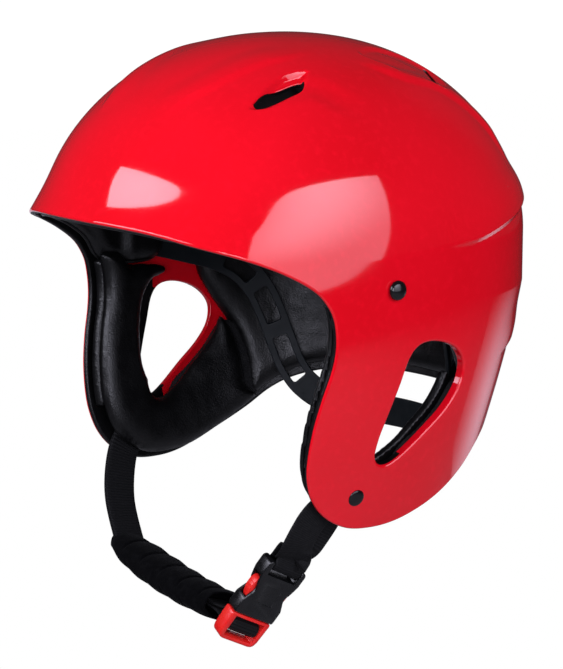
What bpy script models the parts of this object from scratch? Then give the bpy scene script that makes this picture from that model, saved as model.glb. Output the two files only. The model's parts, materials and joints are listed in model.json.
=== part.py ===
"""Water helmet with ear flaps, a padded liner, a nape band and a buckled chin strap.

Metres, +Z up, the face opening towards -Y and the wearer's left towards +X. The origin is the middle of
the wearer's head at ear height, in the helmet's mid-plane.
"""
import math

import bmesh
import bpy
from mathutils import Matrix, Vector

# --- Shell: a broad egg, square-shouldered over the ears --------------------------------------------
HALF_WIDTH = 0.1139
HALF_LENGTH_FRONT = 0.1276
HALF_LENGTH_REAR = 0.1290
SHOULDER_HEIGHT = 0.0567        # the walls start to close in above this height
CROWN_RISE = 0.1015             # from the shoulder to the crown
PLAN_POWER = 2.18
CROWN_POWER = 1.83
SIDE_TUCK = 0.0159              # how far the flaps lean in, 100 mm under the taper's start
REAR_TUCK = 0.0341
TAPER_START = 0.030
BRIM_FLARE = 0.0197             # how far the brow runs forward towards the brim
BRIM_FLARE_TOP = 0.0945
BRIM_FLARE_RUN = 0.060
SHELL_THICKNESS = 0.0034
LAYER_CENTRE = Vector((0, 0, 0.03))

# --- Liner -------------------------------------------------------------------------------------------
PAD_GAP = 0.0015                # glue line between the shell and a pad
PAD_THICKNESS = 0.010
REAR_PAD_THICKNESS = 0.0078
STRAP_POCKET = 0.0075           # room between a flap and its ear pad for the strap's root
EAR_PAD_THICKNESS = 0.0085
LINER_THICKNESS = 0.0054
TEMPLE_PAD_DEPTH = 0.0122       # its outer face clears the nape band and the upper rivet
TEMPLE_PAD_THICKNESS = 0.0070

# --- Rivets ------------------------------------------------------------------------------------------
UPPER_RIVET = Vector((0.1134, -0.0184, 0.0413))
LOWER_RIVET = Vector((0.0981, -0.0302, -0.0632))
STRAP_DEPTH = 0.0069            # of the strap's middle under the shell's outer face, at the lower rivet
RIVET_HEAD_RADIUS = 0.0049
RIVET_HEAD_HEIGHT = 0.0028
RIVET_SHANK_RADIUS = 0.0022
WASHER_RADIUS = 0.0045
WASHER_THICKNESS = 0.0010
CLEARANCE = 0.0004

# --- Nape band ---------------------------------------------------------------------------------------
BAND_WIDTH = 0.0155
BAND_THICKNESS = 0.0020
BAND_HALF_WIDTH = 0.092         # of the oval that the band follows
BAND_HALF_LENGTH = 0.100
BAND_OVAL_Y = -0.004
BAND_LEAN = 0.60                # the oval's growth per metre of height
BAND_TAB_X = 0.1080

# --- Chin strap --------------------------------------------------------------------------------------
WEBBING_WIDTH = 0.018
WEBBING_THICKNESS = 0.0012
WEBBING_PITCH = 0.0017          # between the two layers of a folded webbing
PAD_FAR_END = Vector((-0.0690, -0.0530, -0.1195))
PAD_NEAR_END = Vector((0.0455, -0.0705, -0.1245))
CHIN_PAD_HALF_WIDTH = 0.0150
CHIN_PAD_HALF_THICKNESS = 0.0080

# --- Buckle: its own axes are S up the strap, W across it and N out of its face ---------------------
BUCKLE_FOOT = Vector((0.0575, -0.0765, -0.1365))
BUCKLE_S = Vector((0.384, 0.418, 0.823)).normalized()
BUCKLE_W = Vector((0.008, 0.890, -0.456))
BUCKLE_W = (BUCKLE_W - BUCKLE_S * BUCKLE_W.dot(BUCKLE_S)).normalized()
BUCKLE_N = BUCKLE_W.cross(BUCKLE_S)
BUCKLE_HALF_WIDTH = 0.0125
FEMALE_BOTTOM = 0.0160
BUCKLE_LENGTH = 0.0480
SLOT_HALF_WIDTH = 0.0096
FEMALE_HALF_THICKNESS = 0.0045
CAVITY_HALF_THICKNESS = 0.0030
FRAME_HALF_THICKNESS = 0.0040
LATCH_HALF_THICKNESS = 0.0026
LATCH_PIVOT_S = 0.0185
LATCH_PIVOT_W = 0.0078

SIDES = (("left", 1), ("right", -1))


# --- Scene helpers -----------------------------------------------------------------------------------
def clear_scene():
    for item in list(bpy.data.objects):
        bpy.data.objects.remove(item)


def make_collection(name):
    collection = bpy.data.collections.new(name)
    bpy.context.scene.collection.children.link(collection)
    return collection


def move_to(item, collection):
    for owner in list(item.users_collection):
        owner.objects.unlink(item)
    collection.objects.link(item)


def material(name, colour, roughness, metallic=0.0):
    made = bpy.data.materials.new(name)
    made.use_nodes = True
    shader = made.node_tree.nodes["Principled BSDF"]
    shader.inputs["Base Color"].default_value = (*colour, 1)
    shader.inputs["Roughness"].default_value = roughness
    shader.inputs["Metallic"].default_value = metallic
    return made


def finish_part(item, name, look, smooth=True):
    item.name = name
    item.data.name = name
    item.data.materials.clear()
    item.data.materials.append(look)
    if smooth:
        item.data.shade_smooth()
        item.data.set_sharp_from_angle(angle=math.radians(35))
    move_to(item, PARTS)
    return item


def hide_as_cutter(item):
    item.hide_render = True
    item.display_type = "WIRE"
    move_to(item, CUTTERS)
    return item


def boolean(item, other, operation="DIFFERENCE"):
    step = item.modifiers.new(operation.lower(), "BOOLEAN")
    step.operation = operation
    step.object = other
    step.solver = "EXACT"


def solidify(item, thickness, offset):
    step = item.modifiers.new("thickness", "SOLIDIFY")
    step.thickness = thickness
    step.offset = offset
    step.use_even_offset = False


def curve_to_mesh(item):
    """Replace a curve object by the mesh it evaluates to, with its caps welded."""
    bpy.context.view_layer.update()
    graph = bpy.context.evaluated_depsgraph_get()
    mesh = bpy.data.meshes.new_from_object(item.evaluated_get(graph))
    made = bpy.data.objects.new(item.name, mesh)
    made.matrix_world = item.matrix_world.copy()
    bpy.context.scene.collection.objects.link(made)
    work = bmesh.new()
    work.from_mesh(mesh)
    bmesh.ops.remove_doubles(work, verts=work.verts, dist=0.00001)
    work.to_mesh(mesh)
    work.free()
    bpy.data.objects.remove(item)
    return made


def outline_solid(points, frame, half_depth, rounded=True, resolution=4):
    """A closed flat outline in frame's XY plane, extruded both ways along its Z."""
    curve = bpy.data.curves.new("outline", "CURVE")
    curve.dimensions = "2D"
    curve.fill_mode = "BOTH"
    curve.extrude = half_depth
    curve.resolution_u = resolution
    spline = curve.splines.new("BEZIER" if rounded else "POLY")
    if rounded:
        spline.bezier_points.add(len(points) - 1)
        for knot, (a, b) in zip(spline.bezier_points, points):
            knot.co = (a, b, 0)
            knot.handle_left_type = "AUTO"
            knot.handle_right_type = "AUTO"
    else:
        spline.points.add(len(points) - 1)
        for knot, (a, b) in zip(spline.points, points):
            knot.co = (a, b, 0, 1)
    spline.use_cyclic_u = True
    item = bpy.data.objects.new("outline", curve)
    item.matrix_world = frame
    bpy.context.scene.collection.objects.link(item)
    return curve_to_mesh(item)


def axes_matrix(origin, x_axis, y_axis, z_axis):
    turn = Matrix((x_axis, y_axis, z_axis)).transposed().to_4x4()
    return Matrix.Translation(origin) @ turn


def side_view(x_centre=0.0):
    """Outline X and Y become the helmet's Y and Z, and the extrusion runs along X."""
    return axes_matrix((x_centre, 0, 0), Vector((0, 1, 0)), Vector((0, 0, 1)), Vector((1, 0, 0)))


def box(centre, half_sizes, frame=None, bevel=0.0):
    bpy.ops.mesh.primitive_cube_add(size=2)
    item = bpy.context.active_object
    item.data.transform(Matrix.Diagonal((*half_sizes, 1)))
    item.matrix_world = (frame or Matrix()) @ Matrix.Translation(centre)
    if bevel:
        step = item.modifiers.new("edges", "BEVEL")
        step.width = bevel
        step.segments = 2
    return item


# --- Shell surface -----------------------------------------------------------------------------------
def smooth_step(t):
    t = min(max(t, 0.0), 1.0)
    return t * t * t * (t * (6 * t - 15) + 10)


def below_taper(z):
    return max(TAPER_START - z, 0.0) / 0.1


def half_width(z):
    return max(HALF_WIDTH - SIDE_TUCK * below_taper(z) ** 1.7, 0.02)


def lengthwise(y, z):
    """The share of the surface's equation that its front-to-back and upward reach take."""
    front = HALF_LENGTH_FRONT + BRIM_FLARE * smooth_step((BRIM_FLARE_TOP - z) / BRIM_FLARE_RUN)
    rear = HALF_LENGTH_REAR - REAR_TUCK * below_taper(z) ** 1.05
    blend = smooth_step((y + 0.05) / 0.1)
    half_length = max(front * (1 - blend) + rear * blend, 0.02)
    rise = max(z - SHOULDER_HEIGHT, 0.0) / CROWN_RISE
    return (abs(y) / half_length) ** PLAN_POWER + rise ** CROWN_POWER


def shell_field(point):
    """Negative inside the shell's outer surface, zero on it."""
    x, y, z = point
    return (abs(x) / half_width(z)) ** PLAN_POWER + lengthwise(y, z) - 1


def flank_point(y, z, depth, sign):
    """The point at this depth under the shell's flank, seen from the side at (y, z)."""
    x = sign * half_width(z) * (1 - lengthwise(y, z)) ** (1 / PLAN_POWER)
    on_surface = Vector((x, y, z))
    return on_surface - shell_normal(on_surface) * depth


def shell_normal(point):
    step = 0.0005
    slope = [shell_field(point + step * axis) - shell_field(point - step * axis)
             for axis in (Vector((1, 0, 0)), Vector((0, 1, 0)), Vector((0, 0, 1)))]
    return Vector(slope).normalized()


def shell_point(direction, depth):
    """The point on the outer surface in this direction, moved in by depth."""
    near, far = 0.01, 0.30
    for _ in range(26):
        middle = (near + far) / 2
        if shell_field(LAYER_CENTRE + direction * middle) < 0:
            near = middle
        else:
            far = middle
    on_surface = LAYER_CENTRE + direction * near
    return on_surface - shell_normal(on_surface) * depth


def shell_layer(depth, thickness, segments=40, rings=22):
    """A closed layer that follows the shell, from depth inwards."""
    bpy.ops.mesh.primitive_uv_sphere_add(segments=segments, ring_count=rings, radius=1)
    item = bpy.context.active_object
    for vertex in item.data.vertices:
        vertex.co = shell_point(vertex.co.normalized(), depth)
    solidify(item, thickness, -1)
    return item


# --- Side-view outlines (Y, Z) -----------------------------------------------------------------------
RIM = [(-0.170, 0.0770), (-0.1294, 0.0741), (-0.107, 0.0665), (-0.090, 0.0603), (-0.074, 0.0528),
       (-0.061, 0.0444), (-0.054, 0.0360), (-0.0508, 0.0280), (-0.0496, 0.0160), (-0.0511, 0.0042),
       (-0.0550, -0.0100), (-0.0580, -0.0250), (-0.0590, -0.0400), (-0.0578, -0.0510), (-0.0535, -0.0620),
       (-0.0450, -0.0715), (-0.0320, -0.0785), (-0.0170, -0.0805), (-0.0020, -0.0793), (0.0140, -0.0746),
       (0.0300, -0.0680), (0.0450, -0.0600), (0.0580, -0.0510), (0.0700, -0.0445), (0.0850, -0.0395),
       (0.1050, -0.0360), (0.170, -0.0340)]
BELOW_RIM = [(0.190, -0.38), (-0.190, -0.38)]
EAR_OPENING = [(-0.0095, 0.0060), (-0.0040, 0.0125), (0.0040, 0.0145), (0.0140, 0.0130), (0.0240, 0.0085),
               (0.0305, 0.0015), (0.0320, -0.0060), (0.0290, -0.0150), (0.0210, -0.0245), (0.0090, -0.0340),
               (-0.0040, -0.0440), (-0.0130, -0.0490), (-0.0200, -0.0485), (-0.0238, -0.0430),
               (-0.0228, -0.0330), (-0.0190, -0.0210), (-0.0140, -0.0070)]
EAR_PAD = [(-0.0490, 0.0262), (-0.0480, 0.0180), (-0.0492, 0.0060), (-0.0530, -0.0090), (-0.0565, -0.0270),
           (-0.0574, -0.0420), (-0.0560, -0.0540), (-0.0510, -0.0640), (-0.0430, -0.0708),
           (-0.0310, -0.0768),
           (-0.0170, -0.0788), (-0.0020, -0.0776), (0.0140, -0.0730), (0.0300, -0.0664), (0.0415, -0.0606),
           (0.0430, -0.0575), (0.0430, -0.0410), (0.0420, -0.0280), (0.0385, -0.0180), (0.0330, -0.0100),
           (0.0250, -0.0050), (0.0262, -0.0140), (0.0150, -0.0290), (0.0010, -0.0425), (-0.0120, -0.0485),
           (-0.0215, -0.0440), (-0.0272, -0.0330), (-0.0280, -0.0200), (-0.0265, -0.0060), (-0.0225, 0.0080),
           (-0.0150, 0.0170), (-0.0060, 0.0200), (-0.0070, 0.0240), (-0.0250, 0.0262)]
EAR_LINER = [(-0.0490, 0.0258), (-0.0480, 0.0180), (-0.0492, 0.0060), (-0.0530, -0.0090), (-0.0565, -0.0270),
             (-0.0574, -0.0420), (-0.0500, -0.0430), (-0.0420, -0.0400), (-0.0360, -0.0200),
             (-0.0330, 0.0000),
             (-0.0330, 0.0258)]
EAR_FOAM = [(-0.0050, -0.0765), (0.0140, -0.0730), (0.0300, -0.0664), (0.0430, -0.0600), (0.0460, -0.0560),
            (0.0460, -0.0400), (0.0435, -0.0280), (0.0385, -0.0170), (0.0270, -0.0290), (0.0140, -0.0395),
            (0.0020, -0.0480), (-0.0030, -0.0620)]
FRONT_PAD = [(-0.160, 0.0810), (-0.107, 0.0705), (-0.090, 0.0640), (-0.074, 0.0565), (-0.0590, 0.0470),
             (-0.0500, 0.0340), (-0.0400, 0.0300), (-0.0345, 0.0400), (-0.0345, 0.0600), (-0.0400, 0.0900),
             (-0.0600, 0.1180), (-0.160, 0.1180)]
TEMPLE_PAD = [(-0.0300, 0.0330), (-0.0300, 0.0520), (-0.0230, 0.0545), (-0.0140, 0.0520), (-0.0090, 0.0430),
              (-0.0095, 0.0340), (-0.0160, 0.0300), (-0.0255, 0.0300)]
REAR_PAD = [(0.160, -0.0300), (0.1050, -0.0320), (0.0850, -0.0355), (0.0700, -0.0405), (0.0580, -0.0470),
            (0.0490, -0.0525), (0.0490, -0.0380), (0.0465, -0.0230), (0.0410, -0.0110), (0.0310, 0.0050),
            (0.0245, 0.0180), (0.0235, 0.0320), (0.0300, 0.0470), (0.0450, 0.0580), (0.0620, 0.0650),
            (0.160, 0.0700)]
SIDE_PAD = [(-0.0270, 0.0700), (-0.0300, 0.1000), (-0.0200, 0.1150), (0.0250, 0.1150), (0.0430, 0.1000),
            (0.0420, 0.0720), (0.0300, 0.0600), (-0.0150, 0.0600)]
CROWN_PAD_RADII = (0.046, 0.060)


def make_shell(look):
    shell = shell_layer(0, SHELL_THICKNESS, 48, 28)
    boolean(shell, hide_as_cutter(outline_solid(RIM + BELOW_RIM, side_view(), 0.2)))
    boolean(shell, hide_as_cutter(outline_solid(EAR_OPENING, side_view(), 0.2)))
    for _, sign in SIDES:
        boolean(shell, vent_cutter(Vector((sign * 0.0610, -0.0500, 0.1345)), 0.0135, 0.0038, -sign * 20))
        boolean(shell, vent_cutter(Vector((sign * 0.0500, 0.0560, 0.1370)), 0.0120, 0.0038, sign * 35))
        for centre in (UPPER_RIVET, LOWER_RIVET):
            boolean(shell, rivet_hole(centre, sign))
    finish_part(shell, "shell", look)


def vent_cutter(centre, half_length, half_height, swing):
    """A slot with round ends, cut through the shell along its normal."""
    out = shell_normal(centre)
    along = Vector((0, 1, 0)) - out * out.y
    along = Matrix.Rotation(math.radians(swing), 3, out) @ along.normalized()
    frame = axes_matrix(centre, along, out.cross(along), out)
    arc = [math.radians(-60 + 40 * step) for step in range(4)]
    reach = half_length - half_height
    right = [(reach + half_height * math.cos(turn), half_height * math.sin(turn)) for turn in arc]
    left = [(-a, -b) for a, b in right]
    return hide_as_cutter(outline_solid(right + left, frame, 0.015))


def rivet_hole(centre, sign):
    bpy.ops.mesh.primitive_cylinder_add(vertices=16, radius=RIVET_SHANK_RADIUS + CLEARANCE, depth=0.03)
    hole = bpy.context.active_object
    hole.matrix_world = rivet_frame(centre, sign)
    return hide_as_cutter(hole)


# --- Liner -------------------------------------------------------------------------------------------
def make_pad(name, outline, depth, thickness, look, sign=0):
    """A pad that follows the shell inside a side-view outline, on one side of the head or across it."""
    pad = shell_layer(depth, thickness)
    half_depth = 0.085 if sign else 0.2
    cutter = outline_solid(outline, side_view(sign * 0.105), half_depth)
    boolean(pad, hide_as_cutter(cutter), "INTERSECT")
    return finish_part(pad, name, look)


def make_crown_pad(look):
    pad = shell_layer(SHELL_THICKNESS + PAD_GAP, PAD_THICKNESS)
    bpy.ops.mesh.primitive_cylinder_add(vertices=30, radius=1, depth=1)
    cutter = bpy.context.active_object
    cutter.data.transform(Matrix.Diagonal((*CROWN_PAD_RADII, 0.2, 1)))
    cutter.matrix_world = Matrix.Translation((0, 0.0063, 0.17)) @ Matrix.Rotation(0.03, 4, "Z")
    boolean(pad, hide_as_cutter(cutter), "INTERSECT")
    return finish_part(pad, "crown_pad", look)


def make_liner(foam, cover):
    pad_depth = SHELL_THICKNESS + PAD_GAP
    make_pad("front_pad", FRONT_PAD, pad_depth, PAD_THICKNESS, cover)
    make_pad("rear_pad", REAR_PAD, pad_depth, REAR_PAD_THICKNESS, cover)
    make_crown_pad(cover)
    for side, sign in SIDES:
        make_pad(f"side_pad_{side}", SIDE_PAD, pad_depth, PAD_THICKNESS, cover, sign)
        make_pad(f"ear_pad_{side}", EAR_PAD, SHELL_THICKNESS + STRAP_POCKET, EAR_PAD_THICKNESS, cover, sign)
        make_pad(f"ear_liner_{side}", EAR_LINER, pad_depth, LINER_THICKNESS, foam, sign)
        make_pad(f"ear_foam_{side}", EAR_FOAM, pad_depth, LINER_THICKNESS, foam, sign)
        make_pad(f"temple_pad_{side}", TEMPLE_PAD, TEMPLE_PAD_DEPTH, TEMPLE_PAD_THICKNESS, cover, sign)


# --- Rivets: heads outside, shanks inwards, square to the shell --------------------------------------
def rivet_frame(centre, sign):
    """Z points out of the helmet along the rivet."""
    place = Vector((sign * centre.x, centre.y, centre.z))
    out = shell_normal(place)
    side = Vector((0, 0, 1)).cross(out).normalized()
    return axes_matrix(place, side, out.cross(side), out)


def turned(profile, frame, closed=False, steps=16):
    """A turned shape about frame's Z, from a profile of (radius, height) points, top to bottom."""
    mesh = bpy.data.meshes.new("turned")
    edges = [(i, i + 1) for i in range(len(profile) - 1)]
    if closed:
        edges.append((len(profile) - 1, 0))
    mesh.from_pydata([(radius, 0, height) for radius, height in profile], edges, [])
    item = bpy.data.objects.new("turned", mesh)
    item.matrix_world = frame
    bpy.context.scene.collection.objects.link(item)
    screw = item.modifiers.new("turn", "SCREW")
    screw.steps = steps
    screw.render_steps = steps
    screw.use_merge_vertices = True
    screw.merge_threshold = 0.00001
    return item


def make_rivet(name, centre, sign, head_base, shank_length, look):
    dome = [(RIVET_HEAD_RADIUS * math.sin(turn), head_base + RIVET_HEAD_HEIGHT * math.cos(turn))
            for turn in (math.radians(22.5 * step) for step in range(5))]
    foot = head_base - shank_length
    profile = dome + [(RIVET_SHANK_RADIUS, head_base), (RIVET_SHANK_RADIUS, foot), (0, foot)]
    finish_part(turned(profile, rivet_frame(centre, sign)), name, look)


def make_washer(name, centre, sign, top, look):
    inner = RIVET_SHANK_RADIUS + CLEARANCE
    bottom = top - WASHER_THICKNESS
    profile = [(inner, top), (WASHER_RADIUS, top), (WASHER_RADIUS, bottom), (inner, bottom)]
    finish_part(turned(profile, rivet_frame(centre, sign), closed=True), name, look)


def make_rivets(look):
    for side, sign in SIDES:
        make_rivet(f"upper_rivet_{side}", UPPER_RIVET, sign, 0.0010, 0.0125, look)
        make_washer(f"upper_washer_{side}", UPPER_RIVET, sign, -0.0085, look)
        make_rivet(f"lower_rivet_{side}", LOWER_RIVET, sign, 0.0026, 0.0130, look)
        make_washer(f"lower_washer_{side}", LOWER_RIVET, sign, -0.0092, look)


# --- Ribbons: flat strips that follow a list of (centre, width direction) stations -------------------
def ribbon(stations, width, thickness):
    count = len(stations)
    bpy.ops.mesh.primitive_grid_add(x_subdivisions=1, y_subdivisions=count - 1, size=2)
    item = bpy.context.active_object
    for vertex in item.data.vertices:
        row = round((vertex.co.y + 1) / 2 * (count - 1))
        centre, across = stations[row]
        vertex.co = centre + across.normalized() * (vertex.co.x * width / 2)
    solidify(item, thickness, 0)
    return item


def spline_point(points, t):
    """Catmull-Rom through points, with t from 0 to 1 over the whole list."""
    last = len(points) - 1
    place = min(max(t, 0.0), 1.0) * last
    index = min(int(place), last - 1)
    u = place - index
    before, start = points[max(index - 1, 0)], points[index]
    end, after = points[index + 1], points[min(index + 2, last)]
    return 0.5 * (2 * start + (end - before) * u + (2 * before - 5 * start + 4 * end - after) * u * u
                  + (3 * start - before - 3 * end + after) * u ** 3)


# --- Nape band ---------------------------------------------------------------------------------------
BAND_ROUTE = [Vector(pair) for pair in (
    (-13, 0.0430), (-9, 0.0413), (0, 0.0370), (8, 0.0330), (16, 0.0285), (24, 0.0210), (30, 0.0090),
    (34, -0.0050), (37.5, -0.0210), (41, -0.0350), (46, -0.0460), (54, -0.0535), (68, -0.0565),
    (90, -0.0570))]


def band_point(angle, height):
    """A point on the band's oval: angle runs from the temple (0) round the nape (90) to the other side."""
    lean = 1 + BAND_LEAN * height
    turn = math.radians(angle)
    from_temple = min(angle, 180 - angle)
    outward = BAND_TAB_X - BAND_HALF_WIDTH * lean
    reach = BAND_HALF_WIDTH * lean + outward * (1 - smooth_step((from_temple + 13) / 34))
    return Vector((-reach * math.cos(turn), BAND_OVAL_Y + BAND_HALF_LENGTH * lean * math.sin(turn), height))


def band_stations(count):
    stations = []
    for row in range(count):
        t = row / (count - 1)
        place = 2 * min(t, 1 - t)
        centre = band_point(*spline_point(BAND_ROUTE, place))
        along = (band_point(*spline_point(BAND_ROUTE, place + 0.01))
                 - band_point(*spline_point(BAND_ROUTE, place - 0.01)))
        out = Vector((centre.x / BAND_HALF_WIDTH ** 2, centre.y / BAND_HALF_LENGTH ** 2, 0)).normalized()
        across = along.cross(out).normalized()
        if t > 0.5:
            centre.x = -centre.x
            across.x = -across.x
        stations.append((centre, across))
    return stations


def make_nape_band(look):
    stations = band_stations(61)
    band = ribbon(stations, BAND_WIDTH, BAND_THICKNESS)
    for first, last in ((11, 13), (15, 17), (19, 21)):
        for start, end in ((first, last), (60 - last, 60 - first)):
            boolean(band, band_window(stations, start, end))
    for _, sign in SIDES:
        boolean(band, rivet_hole(UPPER_RIVET, sign))
    finish_part(band, "nape_band", look)


def band_window(stations, first, last):
    """A long window with blunt ends, cut through one arm between two of the band's stations."""
    start, end = stations[first][0], stations[last][0]
    middle = (start + end) / 2
    along = (end - start).normalized()
    across = stations[(first + last) // 2][1]
    out = along.cross(across).normalized()
    frame = axes_matrix(middle, along, out.cross(along), out)
    half = (end - start).length / 2
    window = [(-half, -0.0022), (-half + 0.002, -0.0042), (half - 0.002, -0.0042), (half, -0.0022),
              (half, 0.0022), (half - 0.002, 0.0042), (-half + 0.002, 0.0042), (-half, 0.0022)]
    return hide_as_cutter(outline_solid(window, frame, 0.008, rounded=False))


# --- Chin strap --------------------------------------------------------------------------------------
def folded_ribbon(route, across, opening, far_loop):
    """Two layers of webbing that part by opening(t) along the route, joined at its far end by far_loop."""
    count = 15
    out_leg, back_leg = [], []
    for row in range(count):
        t = row / (count - 1)
        centre = spline_point(route, t)
        along = spline_point(route, min(t + 0.02, 1)) - spline_point(route, max(t - 0.02, 0))
        width_axis = across[0].lerp(across[1], smooth_step(t))
        width_axis = (width_axis - along * width_axis.dot(along) / along.length_squared).normalized()
        out = width_axis.cross(along).normalized()
        out_leg.append((centre + out * opening(t) / 2, width_axis))
        back_leg.append((centre - out * opening(t) / 2, width_axis))
    return ribbon(out_leg + far_loop + back_leg[::-1], WEBBING_WIDTH, WEBBING_THICKNESS)


def around_bar(s_centre, s_radius, n_radius, first, last, steps=7):
    """Stations around a buckle's bar, in its own axes, from angle first to last in degrees."""
    stations = []
    for step in range(steps):
        turn = math.radians(first + (last - first) * step / (steps - 1))
        place = (BUCKLE_FOOT + BUCKLE_S * (s_centre + s_radius * math.cos(turn))
                 + BUCKLE_N * n_radius * math.sin(turn))
        stations.append((place, BUCKLE_W))
    return stations


def strap_root(sign):
    """The strap's first points: over the rivet, then out of the flap's lower front edge."""
    inward = shell_normal(LOWER_RIVET) * STRAP_DEPTH
    over_rivet = LOWER_RIVET - inward
    behind = flank_point(over_rivet.y + 0.0070, over_rivet.z + 0.0060, STRAP_DEPTH, 1)
    at_edge = flank_point(over_rivet.y - 0.0140, over_rivet.z - 0.0130, STRAP_DEPTH, 1)
    return [Vector((sign * p.x, p.y, p.z)) for p in (behind, over_rivet, at_edge)]


def flap_across(sign):
    """The strap's width direction where it leaves the flap."""
    return Vector((sign * -0.11, 0.69, -0.73))


def make_strap_left(look):
    top_of_female = BUCKLE_FOOT + BUCKLE_S * (BUCKLE_LENGTH + 0.0060)
    route = strap_root(1) + [Vector((0.0830, -0.0525, -0.0880)), top_of_female]
    loop = around_bar(0.0462, 0.0032, 0.0040, -50, -310, 9)
    strap = folded_ribbon(route, (flap_across(1), BUCKLE_W), lambda t: WEBBING_PITCH + 0.004 * t ** 4, loop)
    boolean(strap, strap_hole(1))
    finish_part(strap, "webbing_left", look)


def strap_hole(sign):
    bpy.ops.mesh.primitive_cylinder_add(vertices=16, radius=0.0034, depth=0.02)
    hole = bpy.context.active_object
    hole.matrix_world = rivet_frame(LOWER_RIVET, sign) @ Matrix.Translation((0, 0, -STRAP_DEPTH))
    return hide_as_cutter(hole)


def pad_across():
    """The chin pad's width direction."""
    along = PAD_NEAR_END - PAD_FAR_END
    wide = Vector((0, 0.93, -0.30))
    return (wide - along * wide.dot(along) / along.length_squared).normalized()


def make_strap_right(look):
    end = PAD_FAR_END + Vector((-0.0030, 0.0002, 0.0040))
    route = strap_root(-1) + [Vector((-0.0800, -0.0500, -0.0960)), end]
    strap = folded_ribbon(route, (flap_across(-1), pad_across()), lambda t: WEBBING_PITCH, [])
    boolean(strap, strap_hole(-1))
    finish_part(strap, "webbing_right", look)


def make_strap_end(look):
    """The adjustable end: out of the chin pad, around the lock's bar and back into the pad."""
    start = PAD_NEAR_END + (PAD_NEAR_END - PAD_FAR_END).normalized() * 0.0006
    behind_bar = BUCKLE_FOOT + BUCKLE_S * 0.0085 - BUCKLE_N * 0.0075
    route = [start, start.lerp(behind_bar, 0.35), start.lerp(behind_bar, 0.7), behind_bar]
    loop = around_bar(0.0084, 0.0034, 0.0034, -130, -410, 9)
    strap = folded_ribbon(route, (pad_across(), BUCKLE_W), lambda t: WEBBING_PITCH + 0.0032 * t ** 3, loop)
    finish_part(strap, "webbing_end", look)


def make_chin_pad(look):
    bpy.ops.mesh.primitive_uv_sphere_add(segments=20, ring_count=16, radius=1)
    pad = bpy.context.active_object
    along = (PAD_NEAR_END - PAD_FAR_END).normalized()
    across = pad_across()
    out = along.cross(across)
    half_length = (PAD_NEAR_END - PAD_FAR_END).length / 2
    middle = (PAD_NEAR_END + PAD_FAR_END) / 2
    for vertex in pad.data.vertices:
        height = math.copysign(abs(vertex.co.z) ** 0.9, vertex.co.z)
        girth = max(1 - height ** 4, 0) ** 0.5
        turn = math.atan2(vertex.co.y, vertex.co.x)
        vertex.co = (middle + along * height * half_length
                     + across * math.cos(turn) * CHIN_PAD_HALF_WIDTH * girth
                     + out * (math.sin(turn) * CHIN_PAD_HALF_THICKNESS * girth - 0.003 * (1 - height ** 2)))
    finish_part(pad, "chin_pad", look)


# --- Side-release buckle -----------------------------------------------------------------------------
def buckle_frame(s=0.0, w=0.0):
    """X across the buckle, Y up the strap, Z out of its face."""
    place = BUCKLE_FOOT + BUCKLE_S * s + BUCKLE_W * w
    return axes_matrix(place, BUCKLE_W, BUCKLE_S, BUCKLE_N)


def mirrored_outline(right_half):
    return right_half + [(-w, s) for w, s in reversed(right_half)]


def make_female(look):
    top = BUCKLE_LENGTH
    body = outline_solid(mirrored_outline([
        (0.0129, FEMALE_BOTTOM), (0.0129, 0.0255), (0.0106, 0.0285), (0.0102, 0.0335), (0.0112, 0.0375),
        (0.0125, 0.0400), (0.0125, top - 0.0010), (0.0115, top)]), buckle_frame(), FEMALE_HALF_THICKNESS, False)
    cavity_top = 0.0385
    cavity_middle = (FEMALE_BOTTOM - 0.002 + cavity_top) / 2
    cavity_half = (cavity_top - FEMALE_BOTTOM + 0.002) / 2
    for item in (box((0, cavity_middle, 0), (0.0123, cavity_half, CAVITY_HALF_THICKNESS), buckle_frame()),
                 box((0, 0.0425, 0), (SLOT_HALF_WIDTH, 0.0020, 0.01), buckle_frame()),
                 box((0, 0.0480, 0.0040), (SLOT_HALF_WIDTH, 0.0060, 0.0017), buckle_frame()),
                 box((0, 0.0480, -0.0040), (SLOT_HALF_WIDTH, 0.0060, 0.0017), buckle_frame())):
        boolean(body, hide_as_cutter(item))
    finish_part(body, "buckle_female", look, smooth=False)


def make_male(look):
    frame_top = FEMALE_BOTTOM - CLEARANCE
    body = outline_solid(mirrored_outline([
        (0.0095, 0.0), (0.0118, 0.0015), (0.0125, 0.0045), (0.0129, frame_top - 0.001), (0.0125, frame_top)]),
        buckle_frame(), FRAME_HALF_THICKNESS, False)
    tongue = hide_as_cutter(box((0, 0.0235, 0), (0.0026, 0.0105, 0.0020), buckle_frame()))
    boolean(body, tongue, "UNION")
    for item in (box((0, 0.0044, 0), (SLOT_HALF_WIDTH, 0.0022, 0.01), buckle_frame()),
                 box((0, 0.0121, 0), (SLOT_HALF_WIDTH, 0.0019, 0.01), buckle_frame()),
                 box((0, 0.0085, 0.0040), (SLOT_HALF_WIDTH, 0.0030, 0.0022), buckle_frame()),
                 box((0, 0.0085, -0.0040), (SLOT_HALF_WIDTH, 0.0030, 0.0022), buckle_frame())):
        boolean(body, hide_as_cutter(item))
    finish_part(body, "buckle_male", look, smooth=False)


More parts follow.
